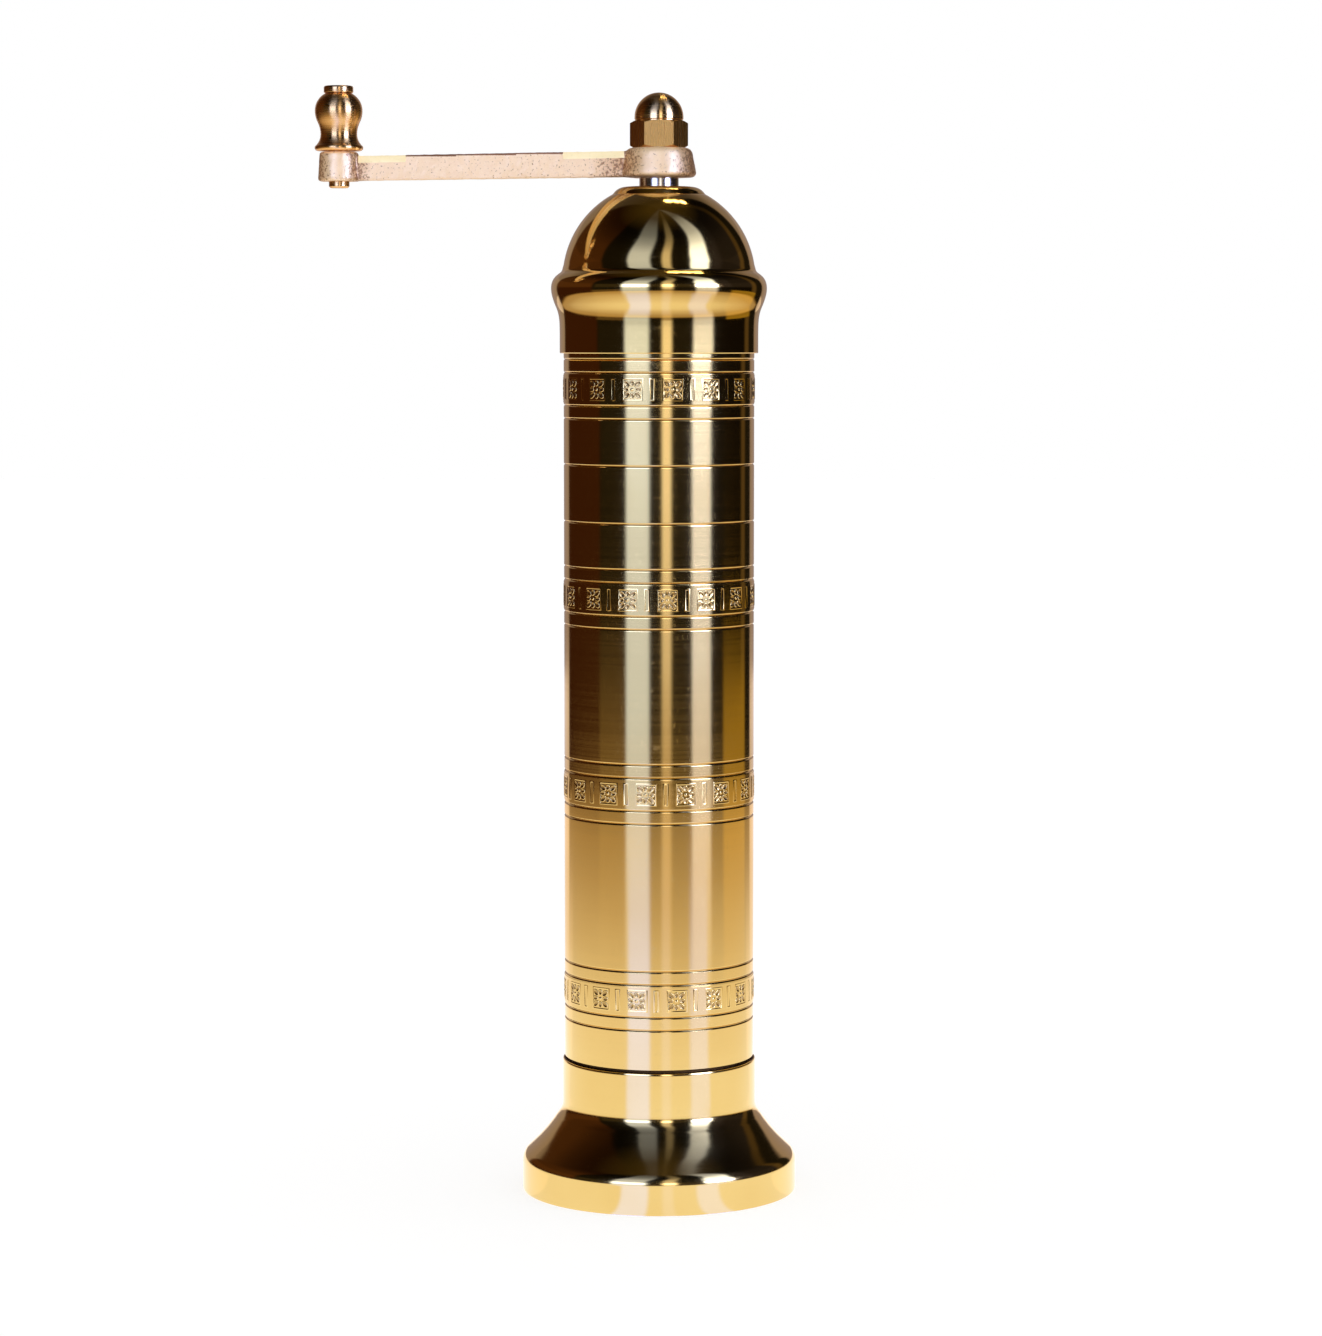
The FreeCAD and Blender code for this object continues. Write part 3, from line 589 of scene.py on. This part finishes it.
def wind(name, section, rises, steps_per_turn):
    """A closed section of (r, z) millimetres is pushed round the axis step by step, rising as it goes."""
    bpy.ops.object.select_all(action="DESELECT")
    bpy.ops.mesh.primitive_circle_add(vertices=len(section), radius=mm, fill_type="NGON")
    piece = bpy.context.object
    piece.name = name
    piece.data.name = name
    for corner, (r, z) in zip(piece.data.vertices, section):
        corner.co = (r * mm, 0, z * mm)
    bpy.ops.object.mode_set(mode="EDIT")
    bpy.ops.mesh.select_mode(type="FACE")
    bpy.ops.mesh.select_all(action="SELECT")
    for rise in rises:
        bpy.ops.mesh.extrude_region_move(TRANSFORM_OT_translate={"value": (0, 0, rise * mm)})
        bpy.ops.transform.rotate(
            value=-2 * math.pi / steps_per_turn, orient_axis="Z", center_override=(0, 0, 0)
        )
    bpy.ops.mesh.select_all(action="SELECT")
    bpy.ops.mesh.normals_make_consistent(inside=False)
    bpy.ops.object.mode_set(mode="OBJECT")
    bpy.ops.object.shade_smooth_by_angle(angle=math.radians(35))
    return piece


def screw_thread(name, start, turns):
    """One long ridge wound round the thread's core, pointed as a metric thread is."""
    middle, foot_half, crest_half = start + 0.55, 0.48, 0.07
    inner = thread_root - 0.1
    section = [(inner, -foot_half), (thread_crest, -crest_half), (thread_crest, crest_half), (inner, foot_half)]
    steps = 36
    return wind(name, [(r, z + middle) for r, z in section], [thread_pitch / steps] * (turns * steps), steps)


def rod(radius, low, high, edge):
    """Outline of a round bar with both its ends bevelled."""
    lower = [(0, low), (radius - edge, low), (radius, low + edge)]
    return lower + [(radius, high - edge), (radius - edge, high), (0, high)]


shaft = turn_on_lathe("shaft", rod(shaft_radius, bar_from, bar_to, 0.25), 96)
square_bar = turn_on_lathe("squares", rod(shaft_radius, squares_from, squares_to, 0.4), 64)
squares = flatten_sides(square_bar, square_half, 4)
threads = [screw_thread("thread", thread_from, 7), screw_thread("thread", squares_to + 0.1, 7)]
fuse(shaft, [squares, turn_on_lathe("core", rod(thread_root, thread_from, thread_to, 0.35), 48)])
bpy.ops.object.shade_smooth_by_angle(angle=math.radians(25))
join_to(shaft, threads)
shaft.data.materials.clear()
shaft.data.materials.append(plain_metal("bright_steel_shaft", (0.79, 0.68, 0.55), (0.68, 0.58, 0.46), 0.18, 0.3))
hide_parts("drive_shaft")
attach(shaft, "drive")


# Collar with its cross pin, and the washer it turns on.
# The collar is a plain steel ring; pinned to the shaft, it rests on a bronze washer over the guide.
dress("shaft_collar", steel)
dress("collar_pin", hard_steel)
dress("thrust_washer", bronze)


# Spring, its washer, the toothed cone and the thumb nut that sets how finely it grinds.
# The spring is hardened wire with closed, ground ends; it pushes the cone down on to the nut.
wire_radius = 0.6
coil_radius = 5.2
coil_from, coil_to = 42.6, 59.25
open_turns, closed_turns = 4, 1
steps = 32
wire = [(coil_radius + x, coil_from + 0.5 * wire_radius + z) for x, z in bow((0, 0), wire_radius, 0, 330, 11)]
closed_rise = 2.2 * wire_radius / steps
open_rise = (coil_to - coil_from - wire_radius - 2 * closed_turns * steps * closed_rise) / (open_turns * steps)
rises = [closed_rise] * (closed_turns * steps) + [open_rise] * (open_turns * steps)
spring = wind("spring", wire, rises + [closed_rise] * (closed_turns * steps), steps)


def cut_away(piece, tool):
    """Takes a tool's shape out of a piece; the new faces keep the tool's finish."""
    bpy.ops.object.select_all(action="DESELECT")
    piece.select_set(True)
    bpy.context.view_layer.objects.active = piece
    cut = piece.modifiers.new("cut", "BOOLEAN")
    cut.operation = "DIFFERENCE"
    cut.solver = "EXACT"
    cut.material_mode = "TRANSFER"
    cut.object = tool
    bpy.ops.object.modifier_apply(modifier="cut")
    bpy.data.objects.remove(tool)


stone_radius, stone_height = 8, 3
for low, high in ((coil_from - stone_height, coil_from), (coil_to, coil_to + stone_height)):
    cut_away(spring, turn_on_lathe("stone", [(0, low), (stone_radius, low), (stone_radius, high), (0, high)], 32))
bpy.ops.object.shade_smooth_by_angle(angle=math.radians(35))
spring.data.materials.clear()
spring.data.materials.append(plain_metal("spring_wire", (0.50, 0.50, 0.52), (0.30, 0.30, 0.33), 0.28, 0.4))
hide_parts("burr_spring")
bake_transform(spring)
dress("spring_washer", steel)
dress("inner_burr", hard_steel)
dress("adjusting_nut", plain_metal("turned_brass_nut", (0.84, 0.60, 0.26), (0.68, 0.46, 0.17), 0.26, 0.5))


# Lid: spun and turned from thick brass, with a cove, a bead and a dome, and polished brighter than the tube.
# Its skirt slips over the tube and its inner step rests on the tube's rim.
skirt_bore, skirt_radius, skirt_from = 19.15, 19.77, 168.5
dome_radius, dome_middle, dome_inside = 19.2, 183.1, 17.6
lid_eye, lid_eye_from, lid_top = 5.28, 198.4, 201.4
lid_side = [
    (skirt_radius, 172.4),
    (19.80, 174.0),
    (19.86, 175.1),
    (19.99, 176.0),
    (20.20, 176.85),
    (20.48, 177.6),
    (20.79, 178.35),
    (21.07, 179.15),
    (21.30, 179.95),
    (21.44, 180.7),
    (21.48, 181.4),
    (21.40, 182.2),
    (21.12, 183.0),
    (20.66, 183.65),
    (20.10, 184.15),
    (19.62, 184.5),
    (19.33, 184.85),
    (19.16, 185.4),
]
lid = turn_on_lathe(
    "lid",
    [(skirt_bore, 168.7), (19.3, skirt_from), (19.62, skirt_from), (skirt_radius, 168.65)]
    + [(skirt_radius, 168.9), (skirt_radius, 170.6)]
    + sweep_through(lid_side, 3)
    + bow((0, dome_middle), dome_radius, 9, 60.6, 40)
    + bow((9.55, 200.17), 0.4, -125, -150, 3)
    + bow((6.6, lid_eye_from), 3.0, 34, 90, 12)
    + [(lid_eye, lid_top), (lid_eye, lid_eye_from), (9.6, lid_eye_from)]
    + bow((0, 183.3), dome_inside, 55, 0, 14)
    + [(dome_inside, tube_to), (skirt_bore, tube_to)],
    192,
    smooth=30,
)
lid.data.materials.append(
    bright_brass("polished_brass_lid", (0.87, 0.62, 0.225), (0.82, 0.55, 0.17), 0.08, 0.06, brushed=0.25)
)
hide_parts("dome_lid")
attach(lid, "lid")
dress("lid_bush", bronze)


# Crank: one rough brass casting of hub, falling arm and boss; only four stopped bevels are filed bright.
# Its square hole sits on the shaft's square, and its boss carries the knob's pin.
hub_from, hub_to = 203.3, 209.1
hub_radius, hub_top_radius = 7.4, 6.7
boss_x, boss_from, boss_to = -63.5, 202.5, 208.3
boss_radius, boss_top_radius = 4.15, 3.85
arm_near = (-3.9, 203.4, 208.5, 3.8)
arm_far = (-63.5, 202.6, 207.4, 3.3)
bevels = ((-19.0, -6.9), (-59.6, -50.15))
bevel_deep, bevel_high = 0.95, 1.4
eye_radius, socket_half, socket_corner = 2.06, 3.15, 3.95
drill_from, drill_to = 200, 212
dark_high, dark_deep = 0.38, 0.6


def block_between(name, near, far):
    """A bar from one upright end to another, each given as x, bottom, top and thickness."""
    bpy.ops.object.select_all(action="DESELECT")
    bpy.ops.mesh.primitive_cube_add(size=1)
    piece = bpy.context.object
    piece.name = name
    for corner in piece.data.vertices:
        x, low, high, thick = near if corner.co.x > 0 else far
        corner.co = (x * mm, math.copysign(thick / 2, corner.co.y) * mm, (high if corner.co.z > 0 else low) * mm)
    return piece


crank = turn_on_lathe(
    "crank",
    [(0, hub_from), (hub_radius - 0.9, hub_from)]
    + bow((hub_radius - 0.9, hub_from + 0.9), 0.9, -90, 0, 5)
    + bow((hub_top_radius - 1.4, hub_to - 1.4), 1.4, 8, 90, 6)
    + [(0, hub_to)],
    96,
)
boss = turn_on_lathe(
    "boss",
    [(0, boss_from)]
    + bow((boss_radius - 0.5, boss_from + 0.5), 0.5, -90, 0, 4)
    + bow((boss_top_radius - 0.5, boss_to - 0.5), 0.5, 0, 90, 4)
    + [(0, boss_to)],
    96,
    place=(boss_x, 0),
)
fuse(crank, [boss, block_between("arm", arm_near, arm_far)])
sand = bpy.data.textures.new("sand", "CLOUDS")
sand.noise_scale = 1.3 * mm
sand.noise_depth = 2
skin = crank.modifiers.new("skin", "REMESH")
skin.mode = "VOXEL"
skin.voxel_size = 0.22 * mm
worn = crank.modifiers.new("worn", "SMOOTH")
worn.factor = 0.5
worn.iterations = 4
uneven = crank.modifiers.new("uneven", "DISPLACE")
uneven.texture = sand
uneven.texture_coords = "LOCAL"
uneven.strength = 0.13 * mm
uneven.mid_level = 0.5
for step in ("skin", "worn", "uneven"):
    bpy.ops.object.modifier_apply(modifier=step)
crank.data.materials.clear()
crank.data.materials.append(
    cast_metal(
        "cast_brass_crank",
        (1.0, 0.755, 0.475),
        (0.94, 0.665, 0.385),
        0.43,
        metal=0.55,
        pitted=0.75,
        # Painted shade on the rounded sides of the hub and the boss, and on the arm beside them.
        shaded_sides=((0, 2.6, 6.6, 14.0), (boss_x, 1.2, 3.9, 6.5)),
    )
)
filed = cast_metal("filed_brass", (1.0, 0.87, 0.58), (0.98, 0.82, 0.49), 0.36, metal=0.25, pitted=0.1)
fall = (arm_near[2] - arm_far[2]) / (arm_near[0] - arm_far[0])
thinning = (arm_near[3] - arm_far[3]) / (arm_near[0] - arm_far[0]) / 2
for start, end in bevels:
    for side in (-1, 1):
        file = block_between("file", (end, 0, 1, 1), (start, 0, 1, 1))
        for corner in file.data.vertices:
            x = corner.co.x / mm
            top = arm_far[2] + fall * (x - arm_far[0])
            face = side * (arm_far[3] / 2 + thinning * (x - arm_far[0]))
            outer, upper = corner.co.y * side > 0, corner.co.z / mm > 0.5
            inner_edge = -bevel_deep if upper else 0.0
            upper_edge = 0.35 if outer else 0.12
            corner.co.y = (face + side * (0.9 if outer else inner_edge)) * mm
            corner.co.z = (top + (upper_edge if upper else -bevel_high)) * mm
        file.data.materials.append(filed)
        cut_away(crank, file)


def drill(name, radius, sides, place=(0, 0)):
    """A round bar as long as the crank is high, to be taken out of it."""
    outline = [(0, drill_from), (radius, drill_from), (radius, drill_to), (0, drill_to)]
    return turn_on_lathe(name, outline, sides, place=place)


eye = drill("eye", eye_radius, 48, place=(boss_x, 0))
socket = flatten_sides(drill("socket", socket_corner, 64), socket_half, 4)
for hole in (eye, socket):
    hole.data.materials.append(filed)
    cut_away(crank, hole)
# A dark brown strip is laid along the arm's upper edges, within 0.38 mm of the top, between the bevels.
crank.data.materials.append(cast_metal("dark_strip_along_top", (0.44, 0.22, 0.11), (0.28, 0.13, 0.06), 0.5))
for face in crank.data.polygons:
    x, y, z = face.center / mm
    below_top = arm_far[2] + fall * (x - arm_far[0]) - z
    inside = arm_far[3] / 2 + thinning * (x - arm_far[0]) - abs(y)
    if bevels[1][1] < x < bevels[0][0] and below_top < dark_high and inside < dark_deep:
        face.material_index = 2
bpy.ops.object.shade_smooth_by_angle(angle=math.radians(32))
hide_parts("crank_arm")
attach(crank, "crank")


# Knob and its pin: the knob is turned from brass bar in a baluster shape and spins on the pin.
# The pin's flat head keeps it on, and the pin's end is riveted under the boss.
knob_bore, knob_from, knob_to = 2.08, 208.5, 219.75
neck_z, belly_z = 211.8, 216.4
pin_radius, pin_from, pin_head_from, pin_to = 2.03, 201.2, 219.85, 221.3
knob = turn_on_lathe(
    "turned_knob",
    [(knob_bore, knob_from)]
    + bow((4.21, 209.1), 0.6, -90, 60, 10)
    + bow((6.735, neck_z), 3.115, 224.4, 180, 10)[1:]
    + bow((8.746, neck_z), 5.126, 180, 153.3, 8)[1:]
    + bow((-0.416, belly_z), 5.126, -26.7, 0, 8)[1:]
    + bow((0.868, belly_z), 3.842, 0, 60.7, 12)[1:]
    + [(knob_bore, knob_to)],
    96,
    place=(boss_x, 0),
)
knob.data.materials.append(
    plain_metal("turned_brass_knob", (1.0, 0.61, 0.24), (0.90, 0.49, 0.155), 0.26, 0.4, axis=(boss_x, 0), brushed=0.9)
)
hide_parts("knob")
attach(knob, "grip")
pin = turn_on_lathe(
    "knob_rivet",
    [(0, pin_from), (1.75, pin_from), (pin_radius, 201.5), (pin_radius, pin_head_from), (2.62, pin_head_from)]
    + bow((2.62, 220.15), 0.3, -90, 0, 5)
    + bow((2.52, 220.9), 0.4, 0, 90, 6)
    + [(0, pin_to)],
    72,
    place=(boss_x, 0),
)
pin.data.materials.append(
    plain_metal("turned_brass_pin", (0.94, 0.58, 0.25), (0.80, 0.45, 0.16), 0.27, 0.4, axis=(boss_x, 0), brushed=0.7)
)
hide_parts("knob_pin")
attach(pin, "crank")


# Cap nut: a domed nut turned from hexagon brass bar, which holds the crank down on the shaft.
# Its dome is polished, and its flats keep the drawn surface of the bar.
nut_from, nut_to, nut_bore = 209.1, 220.0, 3.05
hexagon_half, hexagon_top = 5.0, 214.4
cap_radius, cap_neck = 4.85, 4.7
corner = hexagon_half / math.cos(math.pi / 6)
bevel = math.tan(math.pi / 6) * (corner - hexagon_half)
nut = turn_on_lathe(
    "cap_nut_domed",
    [(nut_bore, nut_from), (hexagon_half, nut_from), (corner, nut_from + bevel)]
    + [(corner, hexagon_top - bevel), (hexagon_half, hexagon_top)]
    + [(cap_neck, hexagon_top), (cap_neck, hexagon_top + 0.2), (cap_radius, hexagon_top + 0.35)]
    + bow((0, nut_to - cap_radius), cap_radius, 0, 90, 20)
    + [(0, nut_to - 1.4), (nut_bore, nut_to - 2.4)],
    120,
)
flatten_sides(nut, hexagon_half, 6, start=math.pi / 6)
nut.data.materials.append(
    plain_metal("turned_brass_cap", (1.0, 0.66, 0.28), (0.95, 0.58, 0.22), 0.22, 0.15, size=0.25, brushed=0.85)
)
nut.data.materials.append(
    plain_metal("drawn_brass_flats", (0.80, 0.48, 0.16), (0.68, 0.39, 0.11), 0.28, 0.4, size=0.16, drawn=True)
)
for face in nut.data.polygons:
    face.material_index = 1 if face.center.z < (hexagon_top + 0.01) * mm else 0
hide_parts("cap_nut")
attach(nut, "cap")


# Table, backdrop and the light of a bright room with three tall windows in front of the mill.
# The room itself is seen only in the polished metal; the table keeps the mill's soft shadow.
table_size, room_radius = 8, 3.2
bpy.ops.object.select_all(action="DESELECT")
bpy.ops.mesh.primitive_plane_add(size=table_size)
table = bpy.context.object
table.name = "table"
bpy.ops.object.select_all(action="DESELECT")
bpy.ops.mesh.primitive_uv_sphere_add(segments=64, ring_count=32, radius=room_radius)
room = bpy.context.object
room.name = "room"
bpy.ops.object.mode_set(mode="EDIT")
bpy.ops.mesh.select_all(action="SELECT")
bpy.ops.mesh.bisect(plane_co=(0, 0, 0), plane_no=(0, 0, 1), clear_inner=True)
bpy.ops.mesh.select_all(action="SELECT")
bpy.ops.mesh.flip_normals()
bpy.ops.object.mode_set(mode="OBJECT")
room.visible_camera = False
room.visible_diffuse = False
room.visible_shadow = False
room.visible_transmission = False

# Each side of the room begins at a direction, in degrees from the viewer towards the crank's far side.
# Then come its colours at the mill's height, on the table's far end, higher up the wall, and on the table close by;
# those on the table are painted reflections.
wood, shade, black, none = (0.05, 0.016, 0.005), (0.016, 0.013, 0.008), (0.008, 0.006, 0.004), (0, 0, 0)
backdrop, backdrop_foot = (0.42, 0.34, 0.33), (1.0, 0.86, 0.86)
room_sides = [
    (-180, backdrop, backdrop_foot, backdrop, backdrop),
    (-141, wood, wood, (0.10, 0.040, 0.014), none),
    (-76, shade, (0.15, 0.10, 0.045), shade, none),
    (-40, (0.88, 1.12, 2.1), (0.88, 1.15, 2.2), (1.15, 1.5, 3.1), (0.1, 0.75, 5.4)),
    (-11.5, shade, shade, shade, none),
    (3.5, (1.1, 1.05, 1.1), (0.62, 0.52, 0.40), (1.3, 1.25, 1.3), (0.1, 0.25, 1.3)),
    (14.5, shade, shade, shade, none),
    (40, (1.0, 1.15, 2.1), (0.95, 1.05, 1.8), (3.4, 4.3, 8.5), (0.1, 0.5, 3.4)),
    (65, black, shade, (0.045, 0.04, 0.06), none),
    (84, black, (0.44, 0.29, 0.04), (0.03, 0.025, 0.03), none),
    (118, (0.12, 0.08, 0.035), (0.44, 0.29, 0.04), (0.12, 0.08, 0.035), none),
    (127, shade, shade, shade, none),
    (144, backdrop, backdrop_foot, backdrop, backdrop),
]


def round_the_mill(tree, place, layer, lean=0.0, spread=1.0):
    """Colour by direction from the mill's axis, with each side of the room softly joined to the next."""
    parts = add_node(tree, "SeparateXYZ", [(0, place)])
    front = add_node(tree, "Math", [(0, parts.outputs[1]), (1, -1.0)], operation="MULTIPLY")
    turn = add_node(tree, "Math", [(0, parts.outputs[0]), (1, front.outputs[0])], operation="ARCTAN2")
    wider = add_node(tree, "Math", [(0, turn.outputs[0]), (1, spread)], operation="MULTIPLY")
    leant = add_node(tree, "Math", [(0, wider.outputs[0]), (1, lean)], operation="SUBTRACT")
    share = add_node(tree, "MapRange", [(0, leant.outputs[0]), (1, -math.pi), (2, math.pi)])
    ramp = add_node(tree, "ValToRGB", [(0, share.outputs[0])])
    stops = ramp.color_ramp.elements
    stops.remove(stops[1])
    stops[0].position = 0.0
    stops[0].color = (*room_sides[0][layer], 1)
    soft = 2
    for before, after in zip(room_sides, room_sides[1:]):
        stops.new((after[0] + 180 - soft) / 360).color = (*before[layer], 1)
        stops.new((after[0] + 180 + soft) / 360).color = (*after[layer], 1)
    return ramp.outputs[0]


def glow(tree, colour, strength):
    """Light of one colour, which may be a socket."""
    return add_node(tree, "Emission", [(0, colour), (1, strength)]).outputs[0]


walls = bpy.data.materials.new("room_walls")
walls.use_nodes = True
tree = walls.node_tree
tree.nodes.clear()
place = add_node(tree, "TexCoord").outputs["Object"]
height = add_node(tree, "VectorMath", [(0, place)], operation="NORMALIZE")
height = add_node(tree, "SeparateXYZ", [(0, height.outputs[0])])
angle = add_node(tree, "Math", [(0, height.outputs[2])], operation="ARCSINE").outputs[0]
ahead = add_node(tree, "MapRange", [(0, height.outputs[1]), (1, -0.38), (2, -0.28), (3, 5.0), (4, 0.8)])
up_the_wall = add_node(tree, "MapRange", [(0, angle), (1, 0.0), (2, math.pi / 2)])
fade = add_node(tree, "ValToRGB", [(0, up_the_wall.outputs[0])])
stops = fade.color_ramp.elements
stops[0].position, stops[0].color = 0.0, (1, 1, 1, 1)
stops[1].position, stops[1].color = 1.0, (0.02, 0.02, 0.02, 1)
window_light = [(4.5, 1.0), (6.5, 2.4), (16, 2.4), (20, 0.6), (33, 0.55), (43, 0.3), (53, 0.16), (64, 0.1), (76, 0.02)]
for rise, value in window_light:
    stops.new(rise / 90).color = (value, value, value, 1)
kept = add_node(tree, "Math", [(0, fade.outputs[0]), (1, ahead.outputs[0])], operation="MINIMUM")
high = add_node(tree, "MapRange", [(0, angle), (1, math.radians(4)), (2, math.radians(7))])
lean = add_node(
    tree,
    "MapRange",
    [(0, angle), (1, math.radians(27)), (2, math.radians(55)), (4, math.radians(8))],
    interpolation_type="SMOOTHSTEP",
)
level, upper = round_the_mill(tree, place, 1), round_the_mill(tree, place, 3, lean.outputs[0])
sides = mix_colours(tree, high.outputs[0], level, upper)
lit = mix_colours(tree, 1.0, sides, kept.outputs[0], way="MULTIPLY")
ceiling = add_node(tree, "MapRange", [(0, angle), (1, math.radians(58)), (2, math.radians(82))])
lit = mix_colours(tree, ceiling.outputs[0], lit, (0.05, 0.036, 0.010, 1), way="ADD")
add_node(tree, "OutputMaterial", [(0, glow(tree, lit, 1.0))])
room.data.materials.append(walls)

top = bpy.data.materials.new("white_table")
top.use_nodes = True
tree = top.node_tree
tree.nodes.clear()
place = add_node(tree, "TexCoord").outputs["Object"]
away = add_node(tree, "VectorMath", [(0, place)], operation="LENGTH").outputs["Value"]
# Painted light: as the metal sees it, the table is white near the mill and fades through warmer tints to dark by 0.77
# m.
painted_light_pool = add_node(tree, "ValToRGB", [(0, away)])
stops = painted_light_pool.color_ramp.elements
stops[0].position, stops[0].color = 0.15, (1.08, 1.08, 1.08, 1)
stops[1].position, stops[1].color = 0.77, (0, 0, 0, 1)
painted_light_pool_tints = [
    (0.22, (1.02, 0.98, 0.93)),
    (0.33, (0.77, 0.68, 0.56)),
    (0.50, (0.50, 0.39, 0.25)),
    (0.64, (0.45, 0.33, 0.18)),
    (0.71, (0.12, 0.075, 0.03)),
]
for distance, tint in painted_light_pool_tints:
    stops.new(distance).color = (*tint, 1)
ends = add_node(tree, "MapRange", [(0, away), (1, 1.18), (2, 1.27)])
# Painted reflections of the room on the table: its sides at the far end, and the windows' streaks close by.
far = mix_colours(tree, ends.outputs[0], round_the_mill(tree, place, 2), round_the_mill(tree, place, 1))
nearer = add_node(tree, "MapRange", [(0, away), (1, 0.0276), (2, 0.11), (3, 2.0), (4, 1.1)])
close = add_node(tree, "MapRange", [(0, away), (1, 0.2), (2, 0.55)])
far = mix_colours(tree, close.outputs[0], round_the_mill(tree, place, 4, spread=nearer.outputs[0]), far)
fades = add_node(tree, "MapRange", [(0, away), (1, 0.15), (2, 1.0), (3, 0.32), (4, 0.8)])
seen = mix_colours(tree, fades.outputs[0], painted_light_pool.outputs[0], far, way="ADD")
rays = add_node(tree, "LightPath")
plain = add_node(tree, "BsdfDiffuse", [(0, (0.8, 0.8, 0.8, 1))])
soft = add_node(tree, "BsdfDiffuse", [(0, (0.5, 0.5, 0.5, 1))])
shown = add_node(tree, "AddShader", [(0, soft.outputs[0]), (1, glow(tree, (1, 1, 1, 1), 0.553))])
to_eye, to_metal = rays.outputs["Is Camera Ray"], rays.outputs["Is Glossy Ray"]
for_eye = add_node(tree, "MixShader", [(0, to_eye), (1, plain.outputs[0]), (2, shown.outputs[0])])
for_metal = add_node(tree, "MixShader", [(0, to_metal), (1, for_eye.outputs[0]), (2, glow(tree, seen, 1.0))])
add_node(tree, "OutputMaterial", [(0, for_metal.outputs[0])])
table.data.materials.append(top)

lamp_radius, first_lamp, lamp_step = 0.066, (0.14, 0.36, 1.4), (0.116, 0.06, 0)
bpy.ops.object.select_all(action="DESELECT")
bpy.ops.mesh.primitive_circle_add(vertices=32, radius=lamp_radius, fill_type="NGON", location=first_lamp)
lamps = bpy.context.object
lamps.name = "ceiling_lamps"
three = lamps.modifiers.new("three", "ARRAY")
three.count = 3
three.use_relative_offset = False
three.use_constant_offset = True
three.constant_offset_displace = lamp_step
bpy.ops.object.modifier_apply(modifier="three")
lamps.visible_camera = False
lamps.visible_diffuse = False
lamps.visible_shadow = False
warm_light = bpy.data.materials.new("warm_light")
warm_light.use_nodes = True
warm_light.node_tree.nodes.clear()
lit = glow(warm_light.node_tree, (1.0, 0.82, 0.5, 1), 9.0)
add_node(warm_light.node_tree, "OutputMaterial", [(0, lit)])
lamps.data.materials.append(warm_light)

world = bpy.data.worlds.new("white_backdrop")
bpy.context.scene.world = world
world.use_nodes = True
tree = world.node_tree
tree.nodes["Background"].inputs[0].default_value = (1, 1, 1, 1)
rays = add_node(tree, "LightPath")
level = add_node(tree, "MapRange", [(0, rays.outputs["Is Camera Ray"]), (3, 0.55), (4, 1.0)])
tree.links.new(level.outputs[0], tree.nodes["Background"].inputs[1])

bpy.ops.object.light_add(type="SUN", location=(-0.3, -1.25, 0.95))
key = bpy.context.object
key.name = "soft_key"
key.data.angle = math.radians(40)
key.data.energy = 2.2
key.data.use_shadow = False
key.rotation_euler = (math.radians(58), 0, math.radians(-13.5))
key.visible_glossy = False

eye_place, looking_down = (0.0004, -0.770, 0.17113), 4.8687
bpy.ops.object.camera_add(location=eye_place, rotation=(math.radians(90 - looking_down), 0, 0))
camera = bpy.context.object
camera.data.lens = 103.76
camera.data.sensor_width = 36
bpy.context.scene.camera = camera
bpy.context.scene.view_settings.view_transform = "Standard"
